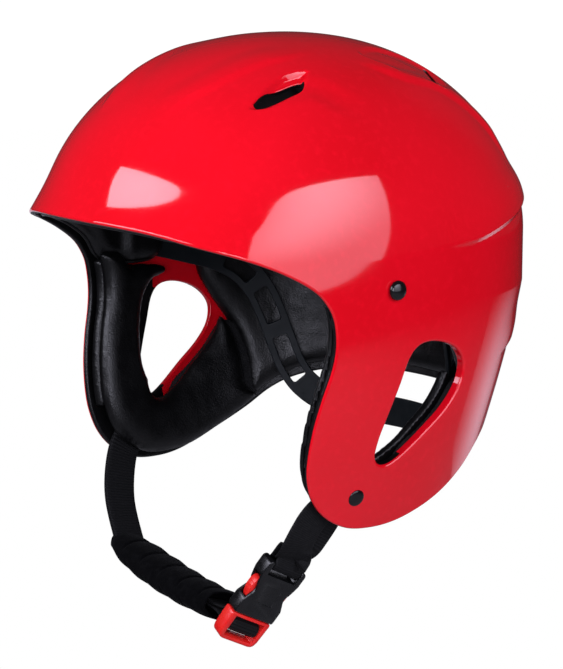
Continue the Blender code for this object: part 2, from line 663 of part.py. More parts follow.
def make_latches(look):
    """A springy arm each side, rooted on the lock's frame, whose head shows in the buckle's side window."""
    foot = FEMALE_BOTTOM + 0.0002
    for side, sign in SIDES:
        arm = [(0.0060, foot), (0.0096, foot), (0.0096, 0.0240), (0.0116, 0.0285), (0.0118, 0.0330),
               (0.0100, 0.0365), (0.0075, 0.0365), (0.0070, 0.0300), (0.0062, 0.0240)]
        pivot = buckle_frame(LATCH_PIVOT_S, -sign * LATCH_PIVOT_W)
        local = [(-sign * (w - LATCH_PIVOT_W), s - LATCH_PIVOT_S) for w, s in arm]
        latch = outline_solid(local[::-sign], pivot, LATCH_HALF_THICKNESS, False)
        finish_part(latch, f"latch_{side}", look, smooth=False)


def build():
    red_shell = material("red_shell", (0.75, 0.012, 0.020), 0.18)
    red_plastic = material("red_plastic", (0.72, 0.020, 0.022), 0.35)
    black_cover = material("black_cover", (0.022, 0.022, 0.023), 0.55)
    black_foam = material("black_foam", (0.035, 0.035, 0.037), 0.85)
    black_plastic = material("black_plastic", (0.020, 0.021, 0.023), 0.35)
    black_webbing = material("black_webbing", (0.025, 0.025, 0.027), 0.9)
    black_velour = material("black_velour", (0.015, 0.015, 0.017), 0.95)
    slate_plastic = material("slate_plastic", (0.045, 0.058, 0.068), 0.45)
    make_shell(red_shell)
    make_liner(black_foam, black_cover)
    make_rivets(black_plastic)
    make_nape_band(slate_plastic)
    make_strap_left(black_webbing)
    make_strap_right(black_webbing)
    make_strap_end(black_webbing)
    make_chin_pad(black_velour)
    make_female(black_plastic)
    make_male(red_plastic)
    make_latches(red_plastic)


clear_scene()
PARTS = make_collection("water_helmet")
CUTTERS = make_collection("cutters")
build()
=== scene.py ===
"""The looks of the water helmet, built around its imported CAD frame.

Metres, +Z up. The face opening is towards -Y and the wearer's left is +X, as in the frame.
"""
import json
import math

import bmesh
import bpy
import numpy as np
from mathutils import Matrix, Vector, noise

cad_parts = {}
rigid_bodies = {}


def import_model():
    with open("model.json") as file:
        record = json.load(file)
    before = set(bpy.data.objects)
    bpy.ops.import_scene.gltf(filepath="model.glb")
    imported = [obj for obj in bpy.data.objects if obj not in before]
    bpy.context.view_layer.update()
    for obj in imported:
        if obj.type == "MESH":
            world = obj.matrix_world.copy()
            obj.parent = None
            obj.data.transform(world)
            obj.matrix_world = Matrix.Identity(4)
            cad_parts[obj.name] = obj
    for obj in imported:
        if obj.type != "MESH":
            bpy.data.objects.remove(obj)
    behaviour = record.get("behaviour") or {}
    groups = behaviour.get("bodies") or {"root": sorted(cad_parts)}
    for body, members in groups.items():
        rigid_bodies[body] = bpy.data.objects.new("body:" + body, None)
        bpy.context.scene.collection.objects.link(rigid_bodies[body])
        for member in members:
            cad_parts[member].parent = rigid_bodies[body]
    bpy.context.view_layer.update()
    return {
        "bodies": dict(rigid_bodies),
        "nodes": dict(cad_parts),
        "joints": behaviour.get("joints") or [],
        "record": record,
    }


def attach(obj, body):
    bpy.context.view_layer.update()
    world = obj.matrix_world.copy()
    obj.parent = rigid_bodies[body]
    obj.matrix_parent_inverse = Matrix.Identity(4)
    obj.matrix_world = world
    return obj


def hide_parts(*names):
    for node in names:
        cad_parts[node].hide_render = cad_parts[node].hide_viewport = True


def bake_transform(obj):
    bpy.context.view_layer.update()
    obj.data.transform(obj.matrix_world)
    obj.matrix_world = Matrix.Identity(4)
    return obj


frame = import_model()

def tenths(*points):
    """Points that are written in tenths of a millimetre."""
    return np.array(points) / 10000


# --- Shell surface, as designed ---
HALF_WIDTH = 0.1139
HALF_LENGTH_FRONT = 0.1276
HALF_LENGTH_REAR = 0.129
SHOULDER_HEIGHT = 0.0567
CROWN_RISE = 0.1015
PLAN_POWER = 2.18
CROWN_POWER = 1.83
SIDE_TUCK = 0.0159
REAR_TUCK = 0.0341
TAPER_START = 0.03
BRIM_FLARE = 0.0197
BRIM_FLARE_TOP = 0.0945
BRIM_FLARE_RUN = 0.06
SHELL_THICKNESS = 0.0034
LAYER_CENTRE = np.array((0.0, 0.0, 0.03))

# Side-view outlines (Y, Z).
RIM = tenths((-1700, 770), (-1294, 741), (-1070, 665), (-900, 603), (-740, 528), (-610, 444), (-540, 360),
             (-508, 280), (-496, 160), (-511, 42), (-550, -100), (-580, -250), (-590, -400), (-578, -510),
             (-535, -620), (-450, -715), (-320, -785), (-170, -805), (-20, -793), (140, -746), (300, -680),
             (450, -600), (580, -510), (700, -445), (850, -395), (1050, -360), (1700, -340))
BELOW_RIM = tenths((1900, -3800), (-1900, -3800))
EAR_OPENING = tenths((-95, 60), (-40, 125), (40, 145), (140, 130), (240, 85), (305, 15), (320, -60),
                     (290, -150), (210, -245), (90, -340), (-40, -440), (-130, -490), (-200, -485),
                     (-238, -430), (-228, -330), (-190, -210), (-140, -70))
UPPER_RIVET = Vector((0.1134, -0.0184, 0.0413))
LOWER_RIVET = Vector((0.0981, -0.0302, -0.0632))
SIDES = (("left", 1), ("right", -1))


# --- Vectors and curves ---
def smooth_step(t):
    t = np.clip(t, 0.0, 1.0)
    return t * t * t * (t * (6 * t - 15) + 10)


def bump(distance, width):
    """A soft hump: 1 at distance 0, falling smoothly to 0 at width."""
    return smooth_step(1 - np.abs(distance) / width)


def unit(vectors):
    length = np.linalg.norm(vectors, axis=-1, keepdims=True)
    return vectors / np.maximum(length, 1e-12)


def catmull_rom(p0, p1, p2, p3, u):
    return 0.5 * (2 * p1 + (p2 - p0) * u + (2 * p0 - 5 * p1 + 4 * p2 - p3) * u ** 2
                  + (3 * p1 - p0 - 3 * p2 + p3) * u ** 3)


def catmull(points, samples, closed=False):
    """Points on a Catmull-Rom curve, samples of them to each span."""
    points = np.asarray(points, float)
    count = len(points)
    u = np.linspace(0, 1, samples, endpoint=False)[:, None]
    made = []
    for index in range(count if closed else count - 1):
        ends = [k % count if closed else min(max(k, 0), count - 1) for k in range(index - 1, index + 3)]
        made.append(catmull_rom(*points[ends], u))
    if not closed:
        made.append(points[-1:])
    return np.concatenate(made)


def curve_at(points, share):
    """The same curve at any share of its way, from 0 to 1 over the whole list of points."""
    points = np.asarray(points, float)
    last = len(points) - 1
    place = np.clip(share, 0, 1) * last
    index = np.minimum(place.astype(int), last - 1)
    ends = (np.maximum(index - 1, 0), index, index + 1, np.minimum(index + 2, last))
    return catmull_rom(*(points[k] for k in ends), (place - index)[:, None])


def ring_tangents(ring):
    return np.roll(ring, -1, axis=0) - np.roll(ring, 1, axis=0)


def running_length(points):
    """The length along a line of points, at each of them."""
    return np.concatenate([[0], np.cumsum(np.linalg.norm(np.diff(points, axis=0), axis=1))])


def signed_distance(where, loop):
    """Distance of 2D points to a closed polyline, positive outside it."""
    best = np.full(len(where), np.inf)
    inside = np.zeros(len(where), bool)
    for a, b in zip(loop, np.roll(loop, -1, axis=0)):
        run, offset = b - a, where - a
        t = np.clip(offset @ run / max((run ** 2).sum(), 1e-18), 0, 1)
        best = np.minimum(best, ((offset - t[:, None] * run) ** 2).sum(1))
        spans = (a[1] > where[:, 1]) != (b[1] > where[:, 1])
        rise = run[1] if abs(run[1]) > 1e-15 else 1e-15
        inside ^= spans & (where[:, 0] < a[0] + (where[:, 1] - a[1]) * run[0] / rise)
    return np.sqrt(best) * np.where(inside, -1.0, 1.0)


# --- Shell surface ---
def half_width(z):
    low = np.maximum(TAPER_START - z, 0.0) / 0.1
    return np.maximum(HALF_WIDTH - SIDE_TUCK * low ** 1.7, 0.02)


def lengthwise(y, z):
    low = np.maximum(TAPER_START - z, 0.0) / 0.1
    front = HALF_LENGTH_FRONT + BRIM_FLARE * smooth_step((BRIM_FLARE_TOP - z) / BRIM_FLARE_RUN)
    rear = HALF_LENGTH_REAR - REAR_TUCK * low ** 1.05
    blend = smooth_step((y + 0.05) / 0.1)
    half_length = np.maximum(front * (1 - blend) + rear * blend, 0.02)
    rise = np.maximum(z - SHOULDER_HEIGHT, 0.0) / CROWN_RISE
    return (np.abs(y) / half_length) ** PLAN_POWER + rise ** CROWN_POWER


def to_left(points):
    """Points with the right side's ones mirrored to the left."""
    return np.stack([np.abs(points[:, 0]), points[:, 1], points[:, 2]], axis=1)


def shell_field(p):
    return (np.abs(p[..., 0]) / half_width(p[..., 2])) ** PLAN_POWER + lengthwise(p[..., 1], p[..., 2]) - 1


def shell_normal(p):
    step = 0.0005
    slope = [shell_field(p + step * axis) - shell_field(p - step * axis) for axis in np.eye(3)]
    return unit(np.stack(slope, axis=-1))


def shell_along(directions):
    """The points where rays from LAYER_CENTRE meet the plain outer surface."""
    near = np.full(directions.shape[:-1], 0.01)
    far = np.full(directions.shape[:-1], 0.3)
    for _ in range(36):
        middle = (near + far) / 2
        inner = shell_field(LAYER_CENTRE + directions * middle[..., None]) < 0
        near = np.where(inner, middle, near)
        far = np.where(inner, far, middle)
    return LAYER_CENTRE + directions * near[..., None]


def flank(y, z):
    """The point of the plain outer surface's left side that a side view shows at (y, z)."""
    x = half_width(z) * np.maximum(1 - lengthwise(y, z), 1e-4) ** (1 / PLAN_POWER)
    return np.stack([x, y, z], axis=-1)


# --- Meshes ---
def add_object(name, data):
    item = bpy.data.objects.new(name, data)
    bpy.context.scene.collection.objects.link(item)
    return item


def add_mesh(name, points, faces, normals=None, uv=None):
    mesh = bpy.data.meshes.new(name)
    mesh.from_pydata([tuple(p) for p in np.asarray(points, float)], [], [tuple(map(int, f)) for f in faces])
    mesh.validate()
    mesh.shade_smooth()
    if uv is not None:
        layer = mesh.uv_layers.new(name="lengths")
        index = np.zeros(len(mesh.loops), np.int32)
        mesh.loops.foreach_get("vertex_index", index)
        layer.data.foreach_set("uv", np.asarray(uv, float)[index].ravel())
    if normals is not None:
        mesh.normals_split_custom_set_from_vertices([tuple(n) for n in normals])
    return add_object(name, mesh)


def cube_sphere(count):
    """Unit directions over a sphere and the quads between them, all facing out."""
    steps = np.tan(np.linspace(-1, 1, count + 1) * math.pi / 4)
    u, v = np.meshgrid(steps, steps, indexing="ij")
    one = np.ones_like(u)
    sheets = [(one, u, v), (-one, v, u), (v, one, u), (u, -one, v), (u, v, one), (v, u, -one)]
    points = np.concatenate([unit(np.stack(s, axis=-1)).reshape(-1, 3) for s in sheets])
    corner = np.arange(count * (count + 1)).reshape(count, count + 1)[:, :-1].ravel()
    quad = np.stack([corner, corner + count + 1, corner + count + 2, corner + 1], axis=1)
    quads = np.concatenate([quad + k * (count + 1) ** 2 for k in range(6)])
    _, first, index = np.unique(np.round(points * 1e7).astype(np.int64), axis=0,
                                return_index=True, return_inverse=True)
    return points[first], index.reshape(-1)[quads]


def grid(u_values, v_values):
    u, v = np.meshgrid(u_values, v_values, indexing="ij")
    rows, columns = len(u_values), len(v_values)
    corner = (np.arange(rows - 1)[:, None] * columns + np.arange(columns - 1)).ravel()
    quads = np.stack([corner, corner + columns, corner + columns + 1, corner + 1], axis=1)
    return np.stack([u.ravel(), v.ravel()], axis=1), quads


def trim(values, quads, height):
    """Keep the faces where height is positive, cut along 0. values are the columns that a vertex carries.

    Returns the new values, the kept faces and the loops of vertices along the cut.
    """
    keep = height >= 0
    kept_corners = keep[quads].sum(1)
    faces = [tuple(q) for q in quads[kept_corners == 4]]
    made, new_values = {}, []
    base = len(values)
    for quad in quads[(kept_corners > 0) & (kept_corners < 4)]:
        shape = []
        for a, b in zip(quad, np.roll(quad, -1)):
            if keep[a]:
                shape.append(int(a))
            if height[a] * height[b] < 0:
                key = (min(a, b), max(a, b))
                if key not in made:
                    t = height[key[0]] / (height[key[0]] - height[key[1]])
                    made[key] = base + len(new_values)
                    new_values.append(values[key[0]] * (1 - t) + values[key[1]] * t)
                shape.append(made[key])
        if len(shape) > 2:
            faces.append(tuple(shape))
    values = np.concatenate([values, np.array(new_values)]) if new_values else values
    used = np.unique(np.concatenate([np.array(f) for f in faces]))
    index = np.full(len(values), -1)
    index[used] = np.arange(len(used))
    faces = [tuple(int(i) for i in index[list(f)]) for f in faces]
    return values[used], faces, edge_loops(faces)


def edge_loops(faces):
    """The open edges of a sheet as loops, each running the way that its faces run."""
    ahead = set()
    for face in faces:
        ahead.update(zip(face, face[1:] + face[:1]))
    follow = {a: b for a, b in ahead if (b, a) not in ahead}
    loops = []
    while follow:
        start, here = follow.popitem()
        loop = [start]
        while here != start:
            loop.append(here)
            here = follow.pop(here)
        loops.append(loop)
    return loops


def flipped(faces):
    return [tuple(reversed(face)) for face in faces]


def face_normals(points, faces):
    a, b, c = (points[[f[k] for f in faces]] for k in range(3))
    return np.cross(b - a, c - b)


def both_skins(faces, count):
    """A sheet's faces, and the same turned over for a second skin whose vertices are count further on."""
    return list(faces) + [tuple(i + count for i in face) for face in flipped(faces)]


def strip(first, second):
    """Quads between two rings, on the outer side of a loop that runs the way its faces run."""
    count = len(first)
    return [(first[(k + 1) % count], first[k], second[k], second[(k + 1) % count]) for k in range(count)]


def tube(rows, sides, base=0):
    """Quads between rings of vertices that follow each other."""
    faces = []
    for row in range(rows - 1):
        a, b = base + row * sides, base + (row + 1) * sides
        faces += [(a + k, b + k, b + (k + 1) % sides, a + (k + 1) % sides) for k in range(sides)]
    return faces


def thick_sheet(name, points, normals, faces, edges, thickness):
    """A closed solid from an outer sheet: a rolled edge along each loop and an inner skin.

    An edge is its loop of vertices, the directions out of the material along it, and its profile: a list of
    (distance outwards, depth, normal's turn in degrees) from the outer skin's edge to the inner skin's.
    """
    count = len(points)
    all_points = [points, points - normals * thickness]
    all_normals = [normals, -normals]
    all_faces = both_skins(faces, count)
    base = 2 * count
    for loop, outward, profile in edges:
        p, n, t = points[loop], normals[loop], unit(outward)
        before = list(loop)
        for along, depth, turn in profile:
            angle = math.radians(turn)
            all_points.append(p + t * along - n * depth)
            all_normals.append(n * math.cos(angle) + t * math.sin(angle))
            ring = list(range(base, base + len(loop)))
            base += len(loop)
            all_faces += strip(before, ring)
            before = ring
        all_faces += strip(before, [i + count for i in loop])
    return add_mesh(name, np.concatenate(all_points), all_faces, np.concatenate(all_normals))


def round_edge(radius, depth, inner_radius, steps=5):
    """An edge that turns through a radius, runs straight in and rounds off into the inner skin."""
    profile = []
    for step in range(1, steps + 1):
        turn = 90 * step / steps
        angle = math.radians(turn)
        profile.append((radius * math.sin(angle), radius * (1 - math.cos(angle)), turn))
    for step in range(steps):
        turn = 90 + 90 * step / steps
        angle = math.radians(turn - 90)
        profile.append((radius - inner_radius * (1 - math.cos(angle)),
                        depth - inner_radius * (1 - math.sin(angle)), turn))
    return profile


# --- Materials ---
def add_node(tree, kind, inputs=(), **settings):
    """A node with its settings, each of whose inputs is a value or the socket that feeds it."""
    made = tree.nodes.new("ShaderNode" + kind)
    for key, value in settings.items():
        setattr(made, key, value)
    for key, value in dict(inputs).items():
        if isinstance(value, bpy.types.NodeSocket):
            tree.links.new(value, made.inputs[key])
        else:
            made.inputs[key].default_value = value
    return made


def map_range(tree, source, ranges, **settings):
    """Map a pattern's range, the first two numbers of ranges, onto the last two."""
    inputs = dict(zip(("From Min", "From Max", "To Min", "To Max"), ranges), Value=source)
    return add_node(tree, "MapRange", inputs, **settings).outputs["Result"]


def seen_by_camera(tree, plain, seen, output):
    """Show one shader to the camera and another to everything else."""
    ray = add_node(tree, "LightPath").outputs["Is Camera Ray"]
    mix = add_node(tree, "MixShader", {0: ray, 1: plain.outputs[0], 2: seen.outputs[0]})
    tree.links.new(mix.outputs[0], tree.nodes[output].inputs["Surface"])


class Look:
    """A Principled material with procedural colour, roughness and relief."""

    def __init__(self, name, colour, roughness, **uniform):
        self.material = bpy.data.materials.new(name)
        self.material.use_nodes = True
        self.tree = self.material.node_tree
        self.shader = self.tree.nodes["Principled BSDF"]
        self.inputs = self.shader.inputs
        self.inputs["Base Color"].default_value = (*colour, 1)
        self.inputs["Roughness"].default_value = roughness
        for key, value in uniform.items():
            self.inputs[key.replace("_", " ")].default_value = value
        self.place = add_node(self.tree, "TexCoord").outputs["Object"]
        self.colour = (*colour, 1)
        self.relief = None

    def noise(self, scale, detail=3, stretch=None, distortion=0.0):
        place = self.place
        if stretch:
            place = add_node(self.tree, "Mapping", {"Scale": stretch, "Vector": place}).outputs["Vector"]
        inputs = {"Scale": scale, "Detail": detail, "Distortion": distortion, "Vector": place}
        return add_node(self.tree, "TexNoise", inputs).outputs["Fac"]

    def cells(self, scale):
        return add_node(self.tree, "TexVoronoi", {"Scale": scale, "Vector": self.place}).outputs["Distance"]

    def strap_wave(self, scale, axis):
        """Bands by the strap's own lengths, in metres: X across it and Y along it."""
        lengths = add_node(self.tree, "UVMap", uv_map="lengths").outputs["UV"]
        return add_node(self.tree, "TexWave", {"Scale": scale, "Vector": lengths}, wave_type="BANDS",
                        bands_direction=axis, wave_profile="SIN").outputs["Fac"]

    def tint(self, source, other, first=0.35, last=0.65):
        """Shade the colour towards other where the pattern is high."""
        socket = self.inputs["Base Color"]
        before = socket.links[0].from_socket if socket.is_linked else self.colour
        inputs = {"A": before, "B": (*other, 1), "Factor": map_range(self.tree, source, (first, last, 0, 1))}
        self.tree.links.new(add_node(self.tree, "Mix", inputs, data_type="RGBA").outputs["Result"], socket)

    def rough(self, source, low, high):
        self.tree.links.new(map_range(self.tree, source, (0.3, 0.7, low, high)), self.inputs["Roughness"])

    def bump(self, source, depth):
        inputs = {"Distance": depth, "Height": source}
        if self.relief:
            inputs["Normal"] = self.relief
        self.relief = add_node(self.tree, "Bump", inputs).outputs["Normal"]
        self.tree.links.new(self.relief, self.inputs["Normal"])


def shell_look():
    look = Look("glossy_red_shell", (0.8, 0.0035, 0.014), 0.13, Specular_IOR_Level=0.5, Coat_Weight=0.35,
                Coat_Roughness=0.03)
    look.tint(look.noise(9, 2), (0.72, 0.0025, 0.01))
    look.tint(look.noise(260, 2), (0.82, 0.004, 0.0155), 0.5, 0.9)
    look.rough(look.noise(60, 4, distortion=0.4), 0.055, 0.08)
    look.bump(look.noise(75, 2), 0.000012)
    look.bump(look.noise(900, 2), 0.000004)
    return look.material


def moulded_look(name, colour, paler, roughness, grain=1400, depth=0.00002):
    """Moulded plastic: fine spark-eroded grain, worn a little shinier in patches."""
    look = Look(name, colour, roughness)
    look.tint(look.noise(120, 4), paler, 0.45, 0.75)
    look.rough(look.noise(220, 4), roughness - 0.07, roughness + 0.08)
    look.bump(look.noise(grain, 3), depth)
    return look.material


def skin_look():
    """The pads' coated cloth skin: soft creases over a fine leathery grain."""
    look = Look("black_skin", (0.0018, 0.0018, 0.002), 0.36, Specular_IOR_Level=0.4)
    look.tint(look.noise(40, 4), (0.0036, 0.0036, 0.0038), 0.45, 0.7)
    look.rough(look.noise(90, 4), 0.3, 0.44)
    look.bump(look.noise(130, 5, (1, 0.7, 0.35), 0.6), 0.00028)
    look.bump(look.cells(1100), 0.0001)
    return look.material


def foam_look():
    """Cut closed-cell foam, with its cells open at the surface."""
    look = Look("black_foam", (0.0065, 0.0065, 0.007), 0.85, Specular_IOR_Level=0.2)
    # Paler on the cells' rims and darker in their pits, by the relief's own pattern: painted shade.
    look.tint(look.cells(1500), (0.016, 0.016, 0.017), 0.1, 0.75)
    look.rough(look.noise(300, 3), 0.75, 0.95)
    look.bump(look.cells(1500), 0.00025)
    return look.material


def webbing_look(ribbed):
    """Narrow woven webbing: twill picks across it, and long ribs where the weave has them."""
    look = Look("ribbed_webbing" if ribbed else "plain_webbing", (0.002, 0.002, 0.0024), 0.72,
                Specular_IOR_Level=0.2, Sheen_Weight=0.015, Sheen_Roughness=0.4)
    picks = look.strap_wave(205 if ribbed else 320, "Y")
    ends = look.strap_wave(420, "X")
    weave = add_node(look.tree, "Math", {0: picks, 1: ends}, operation="MULTIPLY").outputs[0]
    # Paler where the weave's threads stand up and darker in its hollows, by the relief's own pattern: painted
    # highlight and painted shade.
    look.tint(weave, (0.0085, 0.0085, 0.0095), 0.2, 0.85)
    look.tint(look.noise(150, 3), (0.003, 0.003, 0.0035), 0.55, 0.75)
    look.rough(look.noise(500, 3), 0.62, 0.85)
    look.bump(picks if ribbed else weave, 0.0003 if ribbed else 0.00012)
    look.bump(look.noise(2600, 2), 0.00004)
    return look.material


def velour_look():
    look = Look("black_velour", (0.0014, 0.0014, 0.0017), 0.92, Specular_IOR_Level=0.05, Sheen_Weight=0.012,
                Sheen_Roughness=0.35)
    look.tint(look.noise(260, 5), (0.0034, 0.0034, 0.0038), 0.45, 0.75)
    look.rough(look.noise(700, 3), 0.85, 1.0)
    look.bump(look.noise(1600, 3), 0.00022)
    return look.material


def band_look():
    look = Look("slate_band", (0.0055, 0.0078, 0.0095), 0.36, Specular_IOR_Level=0.35)
    look.tint(look.noise(70, 3), (0.0085, 0.0112, 0.013), 0.4, 0.72)
    look.rough(look.noise(180, 4), 0.3, 0.44)
    look.bump(look.noise(1500, 3), 0.000015)
    look.bump(look.noise(60, 2, (1, 1, 3)), 0.00008)
    return look.material


def stage_look():
    """White paper, lit to the backdrop's white, that throws little light back."""
    look = Look("pale_paper", (0.3, 0.3, 0.3), 0.9)
    look.tint(look.noise(3, 3), (0.28, 0.28, 0.28))
    seen_by_camera(look.tree, look.shader, add_node(look.tree, "Emission"), "Material Output")
    return look.material


def finish_piece(item, look, body, slot, *nodes):
    item.data.materials.clear()
    item.data.materials.append(look)
    if body:
        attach(item, body)
    if nodes:
        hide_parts(*nodes)


def second_look(item, look, faces):
    """Give a piece's chosen faces another material than the rest."""
    item.data.materials.append(look)
    item.data.polygons.foreach_set("material_index", np.asarray(faces).astype(np.int32))


# --- Camera, lights and floor ---
VIEW_AZIMUTH = 52
VIEW_ELEVATION = 11
VIEW_DISTANCE = 1.247
LENS = 127.5
FLOOR_HEIGHT = -0.62
FLOOR_REACH = 6
COOL_WHITE = (0.96, 0.96, 1.13)
SURROUNDINGS = (0.036, 0.036, 0.038, 1)
BACKDROP_STRENGTH = 1.05
HOT_SPOT_REACH = 0.75


def stand(name, data, azimuth, elevation, distance):
    """Put a camera or a light round the helmet, facing the frame's origin."""
    turn, rise = math.radians(azimuth), math.radians(elevation)
    level = math.cos(rise)
    place = Vector((math.sin(turn) * level, -math.cos(turn) * level, math.sin(rise))) * distance
    item = add_object(name, data)
    item.matrix_world = Matrix.Translation(place) @ place.to_track_quat("Z", "Y").to_matrix().to_4x4()
    return item


def make_camera():
    camera = stand("camera", bpy.data.cameras.new("camera"), VIEW_AZIMUTH, VIEW_ELEVATION, VIEW_DISTANCE)
    camera.data.lens = LENS
    camera.data.sensor_width = 36
    camera.data.clip_end = 50
    bpy.context.scene.camera = camera


def softbox(name, azimuth, elevation, distance, width, height, power, hot_spot=None):
    """A rectangular light facing the helmet, brightest at hot_spot (across, up, edge's share)."""
    light = bpy.data.lights.new(name, "AREA")
    light.shape = "RECTANGLE"
    light.size = width
    light.size_y = height
    light.energy = power
    light.color = COOL_WHITE
    if hot_spot:
        light.use_nodes = True
        tree = light.node_tree
        place = add_node(tree, "NewGeometry").outputs["Parametric"]
        away = add_node(tree, "VectorMath", {0: place, 1: (*hot_spot[:2], 0)}, operation="DISTANCE")
        strength = map_range(tree, away.outputs["Value"], (0, HOT_SPOT_REACH, 1, hot_spot[2]),
                             interpolation_type="SMOOTHSTEP")
        tree.links.new(strength, tree.nodes["Emission"].inputs["Strength"])
    return stand(name, light, azimuth, elevation, distance)


def make_studio():
    world = bpy.data.worlds.new("studio")
    world.use_nodes = True
    around = world.node_tree.nodes["Background"]
    around.inputs["Color"].default_value = SURROUNDINGS
    backdrop = add_node(world.node_tree, "Background", {"Color": (1, 1, 1, 1), "Strength": BACKDROP_STRENGTH})
    seen_by_camera(world.node_tree, around, backdrop, "World Output")
    bpy.context.scene.world = world
    bpy.context.scene.view_settings.view_transform = "Standard"
    softbox("front_softbox", -8, 26.5, 0.73, 0.76, 0.36, 6.6, (0.5, 0.75, 0.6))
    softbox("side_softbox", 90, 17, 1.82, 1.85, 1.56, 50, (0.5, 0.95, 0.34))
    softbox("view_fill", 47, 9, 1.7, 0.55, 0.62, 8)
    softbox("low_rear_softbox", 184, -19, 1.2, 0.75, 0.4, 0.85, (0.5, 0.4, 0.0))
    softbox("rear_fill", 238, -12, 1.8, 1.3, 0.6, 1.5)
    back_light = softbox("back_fill", 205, 30, 1.8, 1.4, 1.2, 15)
    back_light.visible_glossy = False
    corners = [(x * FLOOR_REACH, y * FLOOR_REACH, FLOOR_HEIGHT)
               for x, y in ((-1, -1), (1, -1), (1, 1), (-1, 1))]
    floor = add_mesh("floor", corners, [(0, 1, 2, 3)])
    floor.data.materials.append(stage_look())


# --- Shell ---
FINE = 150
FRONT_VENT = tenths((590, -640, 1290), (572, -570, 1337), (570, -470, 1377), (588, -330, 1407),
                    (655, -370, 1360), (660, -470, 1322), (645, -580, 1282))
SCOOP = tenths((600, -670, 1275), (572, -610, 1318), (540, -500, 1384), (530, -380, 1425), (556, -270, 1436),
               (600, -300, 1400), (655, -368, 1360), (668, -470, 1318), (655, -590, 1272))
SCOOP_DEPTH = 0.0034
REAR_VENT = tenths((395, 605, 1405), (455, 590, 1395), (540, 550, 1365), (600, 500, 1345), (605, 545, 1325),
                   (545, 600, 1340), (450, 640, 1370), (400, 645, 1385))
REAR_RECESS = tenths((440, 130, 1500), (560, 170, 1460), (640, 260, 1390), (655, 400, 1340), (650, 560, 1280),
                     (560, 640, 1310), (400, 670, 1370), (330, 560, 1440), (340, 300, 1500))
RECESS_DEPTH = 0.0016
EAR_EDGE_DEPTH = 0.0046
LINING_AND_SHADE_DEPTH = 0.0012
LINING_AND_SHADE_FACING = 0.3
CREST_CREASE = tenths((240, -980, 1200), (270, -870, 1280), (340, -700, 1370), (380, -490, 1460),
                      (400, -300, 1500), (380, -100, 1530))
REAR_CREASE = tenths((520, 50, 1480), (640, 250, 1390), (650, 500, 1310), (700, 740, 1140), (730, 820, 1030),
                     (740, 940, 850))
VENT_VALLEY = tenths((600, -620, 1310), (655, -350, 1360), (770, -220, 1290), (860, -80, 1200))
REAR_LEDGE = tenths((1070, 50, 600), (1120, 200, 605), (1095, 390, 620), (1007, 640, 666), (900, 820, 700),
                    (650, 1040, 740), (300, 1180, 760), (0, 1215, 765))
NAPE_LEDGE = tenths((980, 600, -40), (840, 840, 0), (600, 1020, 40), (300, 1120, 60), (0, 1150, 70))


# Each crease's path, height, the shares of its way that it rises and falls over, and its two sides' widths.
CREASES = ((CREST_CREASE, 0.0013, 0.35, 0.35, 0.02, 0.007), (REAR_CREASE, 0.0016, 0.2, 0.35, 0.016, 0.007),
           (VENT_VALLEY, -0.0011, 0.3, 0.5, 0.012, 0.012), (REAR_LEDGE, 0.0022, 0.45, None, 0.022, 0.0035),
           (NAPE_LEDGE, 0.0016, 0.45, None, 0.022, 0.0035))


def near_path(points, path):
    """How far points lie from a curve through path, how far along it (0 to 1), and which side of it."""
    curve = catmull(path, 8)
    best = np.full(len(points), np.inf)
    share = np.zeros(len(points))
    side = np.zeros(len(points))
    out = unit(points - LAYER_CENTRE)
    steps = len(curve) - 1
    for index in range(steps):
        start, run = curve[index], curve[index + 1] - curve[index]
        offset = points - start
        t = np.clip(offset @ run / (run @ run), 0, 1)
        gap = offset - t[:, None] * run
        gap -= out * (gap * out).sum(1, keepdims=True)
        d2 = (gap ** 2).sum(1)
        nearer = d2 < best
        best[nearer] = d2[nearer]
        share[nearer] = (index + t[nearer]) / steps
        side[nearer] = np.einsum("ij,ij->i", np.cross(run, gap[nearer]), out[nearer])
    return np.sqrt(best), share, np.sign(side)


def fade(share, rise, fall):
    """1 along most of a curve, easing to 0 over its first part, and over its last if fall is given."""
    made = smooth_step(share / rise)
    return made * smooth_step((1 - share) / fall) if fall else made


def slot_distance(points, outline):
    """Distance to a slot's outline over the surface, negative inside it."""
    middle = outline.mean(0)
    out = shell_normal(middle)
    _, _, axes = np.linalg.svd(outline - middle)
    long_axis = unit(axes[0] - out * (axes[0] @ out))
    short_axis = np.cross(out, long_axis)
    offset = points - middle
    loop = catmull(outline, 6, closed=True) - middle
    distance = signed_distance(*(np.stack([v @ long_axis, v @ short_axis], axis=1) for v in (offset, loop)))
    distance[offset @ out < -0.04] = 0.1
    return distance


def shell_relief(points):
    """How far the moulded surface stands proud of the plain one."""
    mirrored = to_left(points)
    relief = np.zeros(len(points))
    for path, height, rise, fall, above, below in CREASES:
        distance, share, side = near_path(mirrored, path)
        across = np.where(side > 0, bump(distance, above), bump(distance, below))
        relief += height * fade(share, rise, fall) * across
    for outline, depth, run in ((SCOOP, SCOOP_DEPTH, 0.004), (REAR_RECESS, RECESS_DEPTH, 0.005)):
        relief -= depth * smooth_step(-slot_distance(mirrored, outline) / run)
    return relief


def moulded(points, normals):
    """Stand the plain surface's points off by the relief, and lean their normals to match."""
    step = 0.0004
    helper = np.where(np.abs(normals[:, 2:3]) < 0.9, (0.0, 0.0, 1.0), (1.0, 0.0, 0.0))
    first = unit(np.cross(normals, helper))
    lean = normals.copy()
    for axis in (first, np.cross(normals, first)):
        slope = (shell_relief(points + axis * step) - shell_relief(points - axis * step)) / (2 * step)
        lean -= axis * slope[:, None]
    return points + normals * shell_relief(points)[:, None], unit(lean)


def from_edges(points):
    """Distances of points, seen from the side, to the shell's rim and to its ear opening."""
    rim = np.concatenate([catmull(RIM, 8), BELOW_RIM])
    return [signed_distance(points[:, 1:], loop) for loop in (rim, catmull(EAR_OPENING, 8, closed=True))]


